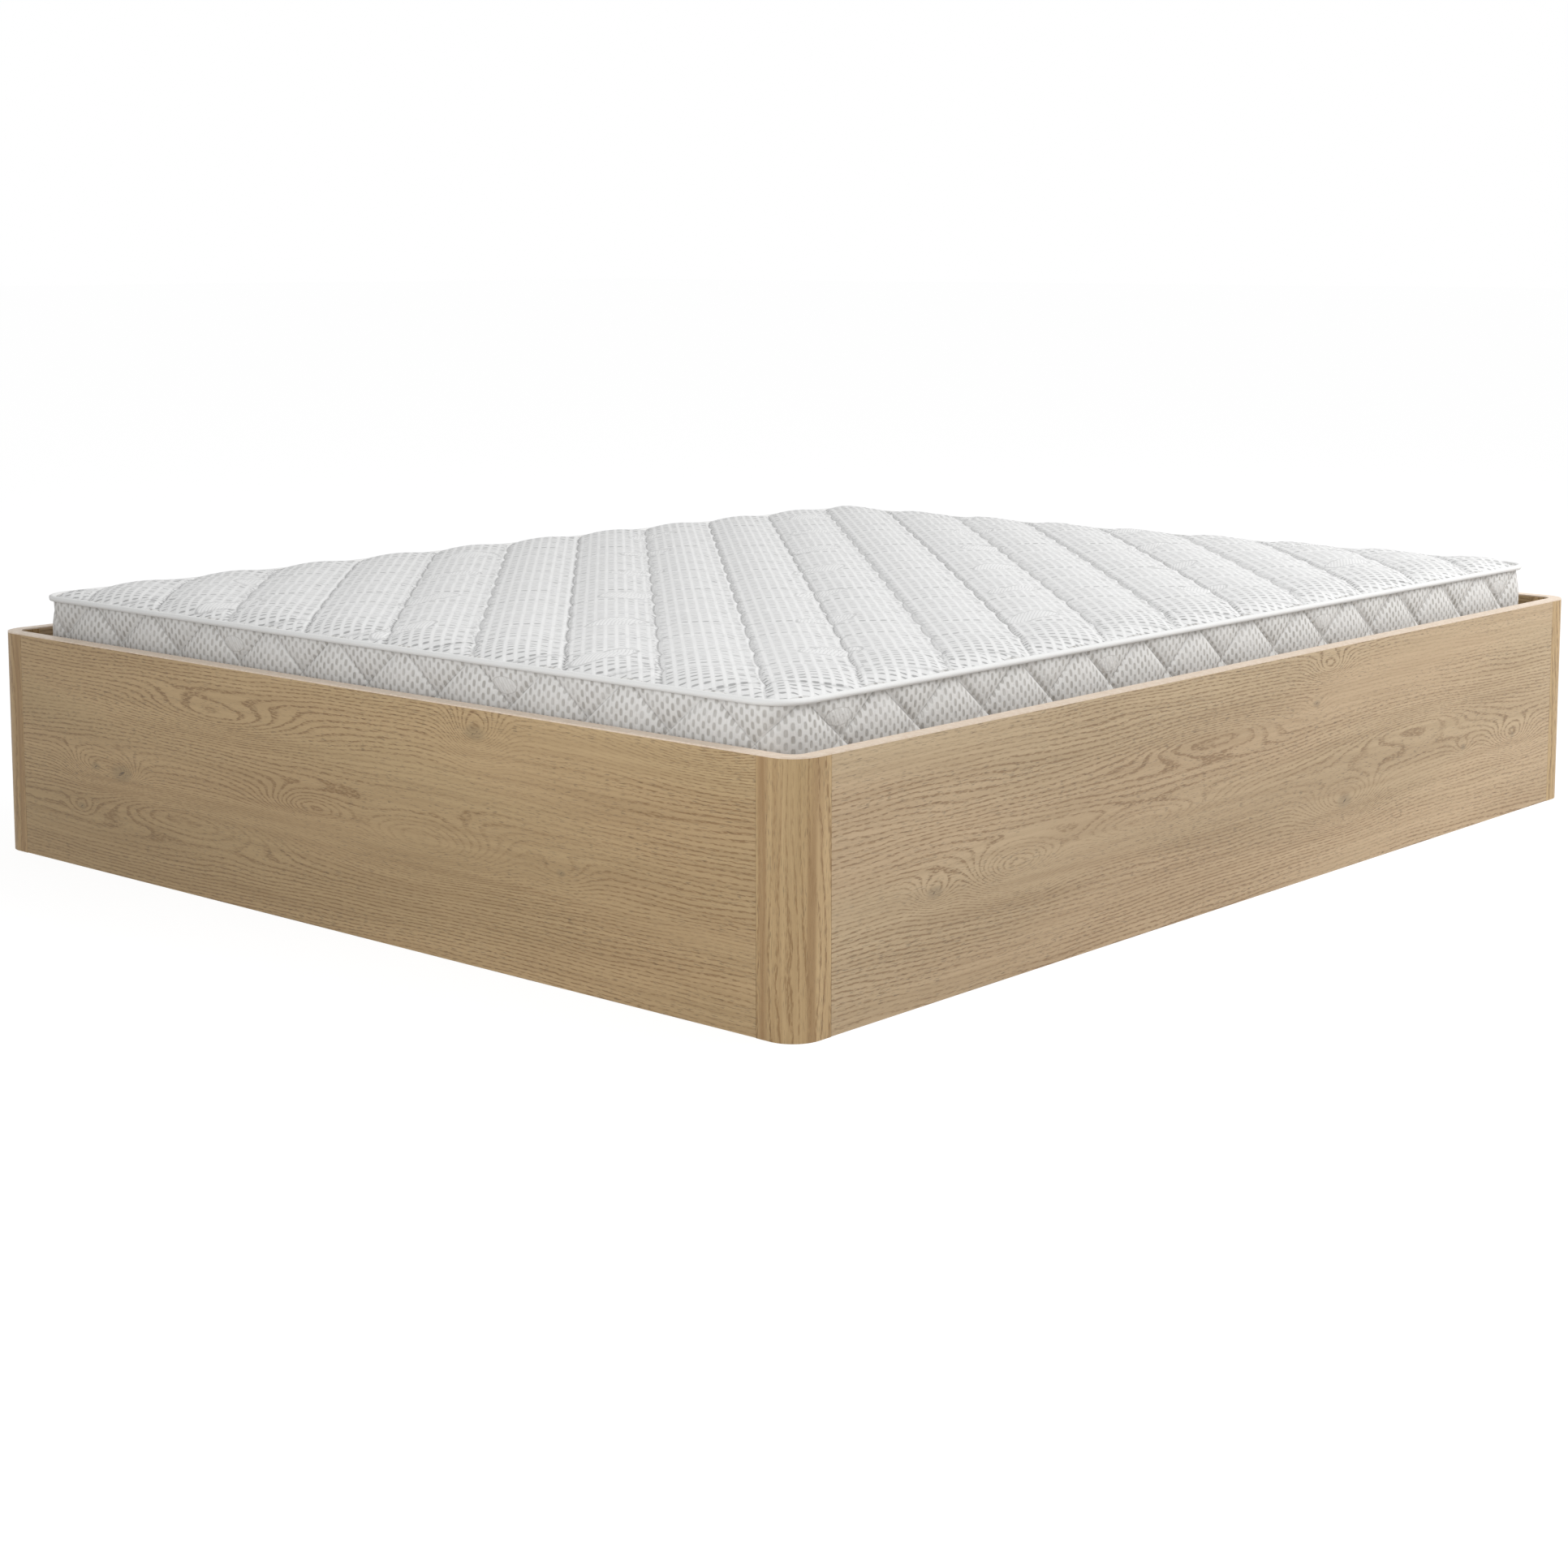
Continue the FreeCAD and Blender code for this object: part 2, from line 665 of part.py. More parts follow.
# Lifting frame of rectangular tube
def tube(name, size, corner, hollow_axis):
    """A rectangular tube: a box less a box, open at both ends along one axis."""
    outer = box(name + "_outer", size, corner)
    inner_size, inner_corner = [], []
    for axis, (length, start) in enumerate(zip(size, corner)):
        if axis == hollow_axis:
            inner_size.append(length)
            inner_corner.append(start)
        else:
            inner_size.append(f"{length} - 2 * rail_wall")
            inner_corner.append(f"{start} + rail_wall")
    inner = box(name + "_inner", inner_size, inner_corner)
    item = doc.addObject("Part::Cut", name)
    item.Base = outer
    item.Tool = inner
    return item


def make_frame():
    full = "2 * frame_half_length"
    for name, side in SIDES:
        near = "-frame_half_width" if side < 0 else "frame_half_width - rail_width"
        rail = tube(name + "_rail", ("rail_width", full, "rail_height"),
                    (near, "-frame_half_length", "rail_underside"), 1)
        finished(rail, "frame_rail_" + name)
    between = "2 * (frame_half_width - rail_width)"
    for name, end in ENDS:
        near = "-frame_half_length" if end < 0 else "frame_half_length - rail_width"
        rail = tube(name + "_rail", (between, "rail_width", "rail_height"),
                    ("-frame_half_width + rail_width", near, "rail_underside"), 0)
        finished(rail, "frame_rail_" + name)
    spine = tube("centre_rail", ("rail_width", "2 * (frame_half_length - rail_width)", "rail_height"),
                 ("-rail_width / 2", "-frame_half_length + rail_width", "rail_underside"), 1)
    finished(spine, "frame_rail_centre")
    plugs = []
    play = mm("plug_play")
    wall = mm("rail_wall") + play
    for side in (-1, 1):
        for end in (-1, 1):
            mouth = end * mm("frame_half_length")
            low_x = min(side * mm("frame_half_width"), side * (mm("frame_half_width") - mm("rail_width")))
            flange = sorted((mouth, mouth + end * mm("plug_flange")))
            stem = sorted((mouth, mouth - end * mm("plug_depth")))
            cap = block(Vector(low_x, flange[0], mm("rail_underside")),
                        Vector(low_x + mm("rail_width"), flange[1], mm("rail_top")))
            core = block(Vector(low_x + wall, stem[0], mm("rail_underside") + wall),
                         Vector(low_x + mm("rail_width") - wall, stem[1], mm("rail_top") - wall))
            plugs.append(cap.fuse(core))
    finished(solids("plugs", plugs), "rail_end_plugs")


# Sprung slats in holders, in two rows
def slat_places():
    far = mm("frame_half_length") - mm("slat_end_margin")
    return evenly(-far, far, SLATS_PER_SIDE)


def make_slats():
    wall, play = mm("holder_wall"), mm("holder_play")
    half = mm("slat_width") / 2
    low, high = mm("slat_underside"), mm("slat_underside") + mm("slat_thickness")
    centre_reach = mm("rail_width") / 2
    inner_end = mm("holder_divider") / 2 + play
    outer_face = mm("frame_half_width") - wall
    outer_end = outer_face - wall - play
    slats, outer_holders, centre_holders = [], [], []
    for along in slat_places():
        centre = block(Vector(-centre_reach, along - half - wall, mm("rail_top")),
                       Vector(centre_reach, along + half + wall, mm("holder_top")))
        for side in (-1, 1):
            across = sorted((side * inner_end, side * outer_end))
            slats.append(block(Vector(across[0], along - half, low), Vector(across[1], along + half, high)))
            grip = sorted((side * outer_face, side * (outer_face - mm("holder_grip"))))
            holder = block(Vector(grip[0], along - half - wall, mm("rail_top")),
                           Vector(grip[1], along + half + wall, mm("holder_top")))
            pocket = block(Vector(across[0] - (play if side < 0 else 0), along - half - play / 2, low),
                           Vector(across[1] + (play if side > 0 else 0), along + half + play / 2, high))
            outer_holders.append(holder.cut(pocket))
            mouth = block(Vector(across[0] - (play if side > 0 else 0), along - half - play / 2, low),
                          Vector(across[1] + (play if side < 0 else 0), along + half + play / 2, high))
            centre = centre.cut(mouth)
        centre_holders.append(centre)
    finished(solids("slat_rows", slats), "slats")
    finished(solids("side_holders", outer_holders), "slat_side_holders")
    finished(solids("middle_holders", centre_holders), "slat_centre_holders")


# Lift fitting: links drawn from pivot to pivot, with a bore at each end
def link_body(name, length_text, length):
    body = doc.addObject("PartDesign::Body", name)
    sketch = new_sketch(body, name + "_profile")
    radius, bore = mm("link_radius"), mm("pin_diameter") / 2 + mm("pin_clearance")
    near, far = Vector(0, 0, 0), Vector(length, 0, 0)
    up = Vector(0, radius, 0)
    quarter = math.pi / 2
    sketch.addGeometry(Part.ArcOfCircle(Part.Circle(near, ALONG_Z, radius), quarter, 3 * quarter), False)
    sketch.addGeometry(Part.LineSegment(near - up, far - up), False)
    sketch.addGeometry(Part.ArcOfCircle(Part.Circle(far, ALONG_Z, radius), -quarter, quarter), False)
    sketch.addGeometry(Part.LineSegment(far + up, near + up), False)
    sketch.addGeometry(Part.Circle(near, ALONG_Z, bore), False)
    sketch.addGeometry(Part.Circle(far, ALONG_Z, bore), False)
    start, end, middle = 1, 2, 3
    sketch.addConstraint(Sketcher.Constraint("Tangent", 0, end, 1, start))
    sketch.addConstraint(Sketcher.Constraint("Tangent", 1, end, 2, start))
    sketch.addConstraint(Sketcher.Constraint("Tangent", 2, end, 3, start))
    sketch.addConstraint(Sketcher.Constraint("Tangent", 3, end, 0, start))
    sketch.addConstraint(Sketcher.Constraint("Coincident", 0, middle, -1, 1))
    sketch.addConstraint(Sketcher.Constraint("PointOnObject", 2, middle, -1))
    sketch.addConstraint(Sketcher.Constraint("Coincident", 4, middle, 0, middle))
    sketch.addConstraint(Sketcher.Constraint("Coincident", 5, middle, 2, middle))
    sketch.addConstraint(Sketcher.Constraint("Equal", 4, 5))
    named(sketch, "radius", "link_radius", "Radius", 0, radius)
    named(sketch, "reach", length_text, "DistanceX", 0, middle, 2, middle, length)
    named(sketch, "bore", "pin_diameter / 2 + pin_clearance", "Radius", 4, bore)
    pad(body, sketch, "link_thickness")
    return body


def pivot(name, across):
    return Vector(across, setback(mm(name + "_setback")), mm(name + "_height"))


def link_span(first, second):
    """The distance between two pivots, as a formula."""
    back = f"({first}_setback - {second}_setback)"
    rise = f"({first}_height - {second}_height)"
    return f"sqrt({back} ^ 2 + {rise} ^ 2)"


def lay_link(item, start, end):
    """Turns a body drawn along X, its thickness along Z, onto the line between two pivots."""
    along = (end - start).normalize()
    outwards = ALONG_X
    item.Placement = Placement(start, Rotation(along, outwards.cross(along), outwards, "ZXY"))
    return item


def make_links():
    for kind in ("rear", "front"):
        base, frame = f"{kind}_base", f"{kind}_frame"
        for name, side in SIDES:
            across = min(side * mm("link_inner_face"), side * mm("link_outer_face"))
            start, end = pivot(base, across), pivot(frame, across)
            body = link_body(f"{name}_{kind}_link", link_span(base, frame), (end - start).Length)
            finished(lay_link(body, start, end), f"{kind}_link_{name}")


def plate(outline, low_x, high_x):
    corners = [Vector(low_x, along, height) for along, height in outline]
    wire = Part.makePolygon(corners + corners[:1])
    return Part.Face(wire).extrude(ALONG_X * (high_x - low_x))


def rounded_plate(outline, low_x, high_x, radius):
    shape = plate(outline, low_x, high_x)
    edges = [edge for edge in shape.Edges if abs(edge.tangentAt(edge.FirstParameter).x) > 1 - 1e-6]
    return shape.makeFillet(radius, edges)


def make_base_plates():
    for name, side in SIDES:
        low, high = sorted((side * mm("plate_face"), side * mm("inner_half_width")))
        shape = rounded_plate(base_plate_outline(), low, high, mm("base_plate_margin") / 3)
        blank = solids(name + "_plate_blank", [shape])
        holes = [screw_hole(*place) for place in base_plate_screws(side)]
        finished(drilled(name + "_plate", blank, holes), "lift_base_plate_" + name)


def make_brackets():
    """Plates on the frame's side rails that carry the moving pivots."""
    margin = mm("link_radius")
    rear, front = mm("rear_frame_setback") - 2 * margin, mm("front_frame_setback") + 2 * margin
    heights = (mm("rear_frame_height"), mm("front_frame_height"))
    head = mm("pin_head_diameter") / 2
    high = max(mm("rail_top") + margin / 3, max(heights) + margin)
    low = min(mm("rail_underside"), min(heights) - head)
    outline = [(setback(rear), low), (setback(front), low), (setback(front), mm("rail_top")),
               (setback(mm("front_frame_setback")), high), (setback(rear), high)]
    for name, side in SIDES:
        near, far = sorted((side * mm("frame_half_width"), side * mm("bracket_face")))
        finished(solids(name + "_bracket", [rounded_plate(outline, near, far, margin / 3)]),
                 "frame_bracket_" + name)


def pin(foot, direction, length, head_gap):
    """A pin from a plate through a link, with a shoulder against the plate and a flat head."""
    radius, head = mm("pin_diameter") / 2, mm("pin_head_diameter") / 2
    shoulder = rod(head, foot, foot + direction * (mm("washer_thickness") - head_gap))
    shank = rod(radius, foot, foot + direction * length)
    cap_foot = foot + direction * length
    cap = rod(head, cap_foot, cap_foot + direction * mm("pin_head_height"))
    return shoulder.fuse([shank, cap]).removeSplitter()


def make_pins():
    gap = mm("pin_clearance")
    reach = mm("washer_thickness") + mm("link_thickness") + gap
    base_pins, frame_pins, link_pins = [], [], []
    for side in (-1, 1):
        inwards = ALONG_X * -side
        for name in ("rear_base", "front_base"):
            base_pins.append(pin(pivot(name, side * mm("plate_face")), inwards, reach, gap))
        foot = pivot("spring_foot", side * mm("plate_face"))
        eye_end = side * (mm("spring_plane") - mm("spring_eye_width") / 2)
        stud_end = Vector(eye_end, foot.y, foot.z)
        shank = rod(mm("spring_stud_diameter") / 2, foot, stud_end + inwards * gap)
        collar_end = Vector(side * (mm("spring_plane") + mm("spring_eye_width") / 2 + gap), foot.y, foot.z)
        collar = rod(mm("pin_diameter") / 2 + gap, foot, collar_end)
        cap = rod(mm("pin_diameter") / 2 + gap, stud_end + inwards * gap,
                  stud_end + inwards * (gap + mm("pin_head_height")))
        base_pins.append(shank.fuse([collar, cap]).removeSplitter())
        frame_pins.append(pin(pivot("rear_frame", side * mm("bracket_face")), -inwards, reach, gap))
        # the open pivot: its pin rides in the link and stops short of the bracket
        outer = pivot("front_frame", side * mm("link_outer_face"))
        inner = pivot("front_frame", side * (mm("bracket_face") + mm("open_pivot_gap")))
        shank = rod(mm("pin_diameter") / 2, inner, outer)
        cap = rod(mm("pin_head_diameter") / 2, outer, outer - inwards * mm("pin_head_height"))
        link_pins.append(shank.fuse(cap).removeSplitter())
    finished(solids("base_pins", base_pins), "base_pivot_pins")
    finished(solids("frame_pins", frame_pins), "bracket_pivot_pins")
    finished(solids("open_pins", link_pins), "front_link_pins")


# Gas springs: a tube with a sliding rod, an eye at each end
def spring_ends(side):
    across = side * mm("spring_plane")
    foot = pivot("spring_foot", across)
    base, frame = pivot("front_base", across), pivot("front_frame", across)
    head = base + (frame - base) * SPRING_HEAD_SHARE
    return foot, head


def spring_eye(centre, along, bore):
    half = ALONG_X * (mm("spring_eye_width") / 2)
    ring = rod(mm("spring_tube_diameter") / 2, centre - half, centre + half)
    neck_radius = mm("spring_eye_width") / 2 - mm("spring_tube_wall")
    neck = rod(neck_radius, centre, centre + along * mm("spring_end_length"))
    return ring.fuse(neck).cut(rod(bore, centre - half, centre + half)).removeSplitter()


def make_springs():
    gap = mm("pin_clearance")
    radius, wall = mm("spring_tube_diameter") / 2, mm("spring_tube_wall")
    rod_radius = mm("spring_rod_diameter") / 2
    for name, side in SIDES:
        foot, head = spring_ends(side)
        along = (head - foot).normalize()
        tube_start = foot + along * mm("spring_end_length")
        tube_end = head - along * (mm("spring_end_length") + mm("spring_rod_shown"))
        outer = rod(radius, tube_start, tube_end)
        bore = rod(radius - wall, tube_start + along * wall, tube_end - along * (2 * wall))
        guide = rod(rod_radius + gap, tube_end - along * (3 * wall), tube_end)
        cylinder = outer.cut([bore, guide])
        eye = spring_eye(foot, along, mm("spring_stud_diameter") / 2 + gap)
        finished(solids(name + "_cylinder", [cylinder.fuse(eye).removeSplitter()]),
                 "gas_spring_cylinder_" + name)
        piston_end = tube_end - along * (3 * wall + mm("spring_stroke") + radius)
        piston = rod(radius - wall - gap, piston_end, piston_end + along * (radius - wall))
        shaft = rod(rod_radius, piston_end, head - along * mm("spring_end_length"))
        finished(solids(name + "_rod", [shaft.fuse(piston).removeSplitter()]), "gas_spring_rod_" + name)
    ends = []
    for name, side in SIDES:
        foot, head = spring_ends(side)
        along = (foot - head).normalize()
        stud_start = Vector(side * (mm("spring_plane") - mm("spring_eye_width") / 2), head.y, head.z)
        stud_end = Vector(side * (mm("link_inner_face") - mm("open_pivot_gap")), head.y, head.z)
        stud = rod(mm("spring_stud_diameter") / 2, stud_start, stud_end)
        ends.append(spring_eye(head, along, mm("spring_stud_diameter") / 2).fuse(stud).removeSplitter())
    finished(solids("rod_ends", ends), "gas_spring_rod_ends")


# Mattress: border, quilted top, base, core and two runs of piping
def mattress_outline(inset, height):
    """A rounded rectangle that lies this far inside the mattress's plan."""
    half_x, half_y = mm("mattress_width") / 2 - inset, mm("mattress_length") / 2 - inset
    radius = max(mm("mattress_corner") - inset, mm("mattress_corner") / 5)
    diagonal = radius * (1 - math.sqrt(0.5))
    spots = [Vector(half_x, -half_y + radius, height), Vector(half_x, half_y - radius, height),
             Vector(half_x - diagonal, half_y - diagonal, height),
             Vector(half_x - radius, half_y, height), Vector(-half_x + radius, half_y, height),
             Vector(-half_x + diagonal, half_y - diagonal, height),
             Vector(-half_x, half_y - radius, height), Vector(-half_x, -half_y + radius, height),
             Vector(-half_x + diagonal, -half_y + diagonal, height),
             Vector(-half_x + radius, -half_y, height), Vector(half_x - radius, -half_y, height),
             Vector(half_x - diagonal, -half_y + diagonal, height)]
    edges = []
    for corner in range(4):
        first = spots[3 * corner]
        second = spots[3 * corner + 1]
        bend = spots[3 * corner + 2]
        third = spots[(3 * corner + 3) % 12]
        edges.append(Part.LineSegment(first, second).toShape())
        edges.append(Part.Arc(second, bend, third).toShape())
    return Part.Wire(edges)


def stacked(levels, straight=False):
    """A solid through outlines given as inset and height."""
    return Part.makeLoft([mattress_outline(inset, height) for inset, height in levels], True, straight)


def piping(height):
    radius = mm("piping_diameter") / 2
    path = mattress_outline(0, height)
    start = path.Edges[0].valueAt(path.Edges[0].FirstParameter)
    ring = Part.Wire([Part.Circle(start, ALONG_Y, radius).toShape()])
    return path.makePipeShell([ring], True, False)


# The crown's rise, as shares of its height, at shares of the half width in from the edge
CROWN_SHARES = [(0, 0), (0.006, 0.25), (0.02, 0.5), (0.05, 0.76), (0.09, 0.93), (0.14, 1)]


def channel_cutters(top):
    """Straight rods that press diagonal channels into the crown."""
    radius = mm("channel_width") ** 2 / (8 * mm("channel_depth")) + mm("channel_depth") / 2
    axis_height = top + radius - mm("channel_depth")
    reach = (mm("mattress_width") + mm("mattress_length")) / 2
    count = int(reach / mm("channel_spacing") / math.sqrt(2))
    slope = Vector(-1, 1, 0).normalize()
    across = Vector(1, 1, 0).normalize()
    cutters = []
    for index in range(-count, count + 1):
        offset = index * mm("channel_spacing") + mm("channel_shift")
        middle = across * offset + ALONG_Z * axis_height
        cutters.append(rod(radius, middle - slope * reach, middle + slope * reach))
    return cutters


def make_mattress():
    top, base = mm("top_piping_height"), mm("base_piping_height")
    low = mm("mattress_underside")
    draw, rise = mm("border_draw"), mm("border_draw_height")
    middle = (top + base) / 2
    seams = [piping(top), piping(base)]
    outer = stacked([(0, base), (draw, base + rise), (draw / 4, middle), (draw, top - rise), (0, top)])
    hollow = stacked([(mm("border_thickness"), base), (mm("border_thickness"), top)])
    finished(solids("border", [outer.cut([hollow] + seams)]), "mattress_border")
    crown = mm("mattress_crown")
    half = mm("mattress_width") / 2
    levels = [(inset_share * half, top + rise_share * crown) for inset_share, rise_share in CROWN_SHARES]
    panel = stacked(levels, True)
    finished(solids("quilt", [panel.cut(channel_cutters(top + crown) + seams[:1])]), "mattress_quilted_top")
    under = stacked([(draw, low), (0, base)])
    finished(solids("under", [under.cut(seams[1:])]), "mattress_base_cover")
    slack = mm("border_thickness") + mm("mattress_play")
    finished(solids("core", [stacked([(slack, base), (slack, top)])]), "mattress_core")
    finished(solids("cord_seams", seams), "mattress_piping")


# Mattress stop at the head end, and the pull strap with its plate at the foot end
def make_stop_and_strap():
    half = mm("stop_width") / 2
    face = mm("frame_half_length")
    thick = mm("stop_thickness")
    behind = mm("mattress_length") / 2 + mm("piping_diameter") / 2 + mm("mattress_play")
    low, knee, top = mm("rail_underside"), mm("rail_top"), mm("rail_top") + mm("stop_rise")
    profile = [(face, low), (face + thick, low), (face + thick, knee - thick),
               (behind + thick, knee + thick / 2), (behind + thick, top), (behind, top),
               (behind, knee + 2 * thick), (face, knee)]
    spots = [Vector(-half, along, height) for along, height in profile]
    shape = Part.Face(Part.makePolygon(spots + spots[:1])).extrude(ALONG_X * (2 * half))
    finished(solids("stop", [shape]), "mattress_stop")
    half = mm("strap_width") / 2
    thick = mm("strap_thickness")
    face = -mm("frame_half_length")
    clear = -mm("mattress_length") / 2 - mm("strap_gap")
    top = mm("box_height") - mm("strap_top_drop")
    profile = [(face, low + thick), (face - thick, low + thick), (face - thick, knee - 1.6 * thick),
               (clear - thick, knee + 1.4 * thick), (clear - thick, top), (clear, top),
               (clear, knee + 2 * thick), (face, knee - thick)]
    spots = [Vector(-half, along, height) for along, height in profile]
    shape = Part.Face(Part.makePolygon(spots + spots[:1])).extrude(ALONG_X * (2 * half))
    finished(solids("strap", [shape]), "lift_strap")
    plate_face = face - thick
    plate_thick = mm("strap_plate_thickness")
    shape = block(Vector(-half, plate_face - plate_thick, low + 2 * thick),
                  Vector(half, plate_face, knee - 2 * thick))
    finished(solids("strap_cover", [shape]), "lift_strap_plate")


make_panels()
make_posts()
make_seam_hardware()
make_floor()
make_ledges()
make_panel_screws()
make_base_plates()
make_frame()
make_slats()
make_links()
make_brackets()
make_pins()
make_springs()
make_mattress()
make_stop_and_strap()
doc.recompute()

for item in doc.Objects:
    if "Invalid" in item.State or "Error" in item.State:
        raise RuntimeError(f"{item.Name} failed: {item.State}")
for item in nodes:
    if item.Shape.isNull() or not item.Shape.isValid():
        raise RuntimeError(f"{item.Label} has no valid shape")

os.makedirs("parts", exist_ok=True)
for item in nodes:
    item.Shape.exportStep(f"parts/{item.Label}.step")
print(len(nodes), "nodes,", sum(len(item.Shape.Solids) for item in nodes), "solids")
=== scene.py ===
import math

import bpy
import numpy as np
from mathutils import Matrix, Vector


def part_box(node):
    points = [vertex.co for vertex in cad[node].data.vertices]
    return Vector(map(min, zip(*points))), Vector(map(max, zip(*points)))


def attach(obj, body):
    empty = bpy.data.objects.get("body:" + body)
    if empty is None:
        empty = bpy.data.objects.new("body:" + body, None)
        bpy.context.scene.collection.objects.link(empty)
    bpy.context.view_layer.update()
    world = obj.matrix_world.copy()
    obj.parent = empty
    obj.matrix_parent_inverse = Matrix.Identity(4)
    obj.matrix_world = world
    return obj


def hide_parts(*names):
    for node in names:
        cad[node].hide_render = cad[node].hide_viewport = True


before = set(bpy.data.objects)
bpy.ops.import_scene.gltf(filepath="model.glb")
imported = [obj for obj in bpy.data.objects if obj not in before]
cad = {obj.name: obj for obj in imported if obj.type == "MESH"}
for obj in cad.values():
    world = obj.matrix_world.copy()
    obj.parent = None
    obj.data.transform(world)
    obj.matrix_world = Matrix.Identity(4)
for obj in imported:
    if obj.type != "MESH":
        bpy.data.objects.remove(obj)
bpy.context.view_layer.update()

bpy.ops.object.select_all(action="DESELECT")
print("frame loaded:", len(cad), "nodes")


# Small helpers for node trees: bench holds the tree that they add to
bench = {}


def put(kind, **settings):
    node = bench["tree"].nodes.new(kind)
    for name, value in settings.items():
        setattr(node, name, value)
    return node


def feed(source, socket):
    if isinstance(source, bpy.types.NodeSocket):
        bench["tree"].links.new(source, socket)
    elif source is not None:
        socket.default_value = source


# Feeds a node's inputs, in turn or by the names or numbers given
def fed(node, values, *places):
    for value, place in zip(values, places or range(len(values))):
        feed(value, node.inputs[place])
    return node


def calc(operation, *values):
    return fed(put("ShaderNodeMath", operation=operation), values).outputs[0]


def times(first, *others):
    for other in others:
        first = calc("MULTIPLY", first, other)
    return first


# First times second, plus third
def timesPlus(first, second, third):
    return calc("MULTIPLY_ADD", first, second, third)


def fromHalf(value):
    return calc("SUBTRACT", value, 0.5)


def vectorCalc(operation, *values):
    node = fed(put("ShaderNodeVectorMath", operation=operation), values)
    return node.outputs["Value" if operation in ("LENGTH", "DOT_PRODUCT") else "Vector"]


def step(value, start, end, low=0.0, high=1.0):
    node = put("ShaderNodeMapRange", interpolation_type="SMOOTHSTEP")
    names = ("Value", "From Min", "From Max", "To Min", "To Max")
    return fed(node, (value, start, end, low, high), *names).outputs["Result"]


def mixed(factor, first, second, way="MIX"):
    node = put("ShaderNodeMix", data_type="RGBA", blend_type=way)
    return fed(node, (factor, first, second), 0, 6, 7).outputs[2]


def mixedValue(factor, first, second):
    return fed(put("ShaderNodeMix"), (factor, first, second), 0, 2, 3).outputs[0]


def noise(place, stretch, detail=2.0, rough=0.5):
    values = (vectorCalc("MULTIPLY", place, stretch), 1.0, detail, rough)
    return fed(put("ShaderNodeTexNoise"), values, "Vector", "Scale", "Detail", "Roughness").outputs["Fac"]


# Noise turned into a mask between two of its values
def spots(place, stretch, detail, *span):
    return step(noise(place, stretch, detail), *span)


def splitUp(vector):
    return fed(put("ShaderNodeSeparateXYZ"), (vector,)).outputs


def combined(x, y, z):
    return fed(put("ShaderNodeCombineXYZ"), (x, y, z)).outputs[0]


def darkened(colour, shade):
    return mixed(1.0, colour, combined(shade, shade, shade), "MULTIPLY")


# Even ridges across a distance
def ridges(place, pitch):
    return calc("ABSOLUTE", calc("SINE", times(place, math.pi / pitch)))


def newGroup(name, takes, gives):
    tree = bench["tree"] = bpy.data.node_groups.new(name, "ShaderNodeTree")
    for way, sockets in (("INPUT", takes), ("OUTPUT", gives)):
        for label, kind in sockets.items():
            tree.interface.new_socket(label, in_out=way, socket_type="NodeSocket" + kind)
    return tree, put("NodeGroupInput").outputs, put("NodeGroupOutput").inputs


def useGroup(group, **values):
    return fed(put("ShaderNodeGroup", node_tree=group), list(values.values()), *values).outputs


def newFinish(name, **settings):
    material = bpy.data.materials.new(name)
    material.use_nodes = True
    bench["tree"] = material.node_tree
    shader = material.node_tree.nodes["Principled BSDF"]
    for label, value in settings.items():
        shader.inputs[label.replace("_", " ")].default_value = value
    return material, shader


def objectPlace():
    return put("ShaderNodeTexCoord").outputs["Object"]


def mapPlace(name):
    return put("ShaderNodeUVMap", uv_map=name).outputs[0]


# Colour, height and, where it varies, roughness go into the shader; relief is depth and strength
def coat(shader, colour, height, relief, rough=None):
    feed(colour, shader.inputs["Base Color"])
    feed(rough, shader.inputs["Roughness"])
    bump = fed(put("ShaderNodeBump"), (*relief, height), "Distance", "Strength", "Height")
    feed(bump.outputs[0], shader.inputs["Normal"])


def dress(material, *names):
    for name in names:
        for slot in cad[name].material_slots:
            slot.material = material


# Oak: rings drawn as level lines of a slowly swelling field, with pores along the grain
def makeSwell():
    tree, given, out = newGroup(
        "grainSwell", {"Place": "Vector", "Centre": "Vector", "Reach": "Vector", "Rings": "Float"},
        {"Field": "Float"})
    offset = vectorCalc("SUBTRACT", given["Place"], given["Centre"])
    distance = vectorCalc("LENGTH", vectorCalc("DIVIDE", offset, given["Reach"]))
    fall = calc("EXPONENT", times(distance, distance, -1.0))
    feed(times(fall, given["Rings"]), out["Field"])
    return tree


# A swing has its stretch along the grain, across it and through it, its detail, and its strength in rings
grainLook = {
    "swings": [((0.9, 5.0, 1.0), 1.5, 12.0), ((2.6, 17.0, 3.0), 1.0, 3.0), ((7.0, 30.0, 1.0), 2.0, 1.6),
               ((70.0, 150.0, 1.0), 1.0, 0.3)],
    "broad": 0.30, "streak": 0.24, "late": 1.35, "coolTint": (0.965, 0.985, 0.98, 1), "poreShade": -0.45,
    "fibreShade": 0.14, "rough": 0.5, "lateRough": -0.06, "poreHeight": -1.0, "fibreHeight": 0.3,
}


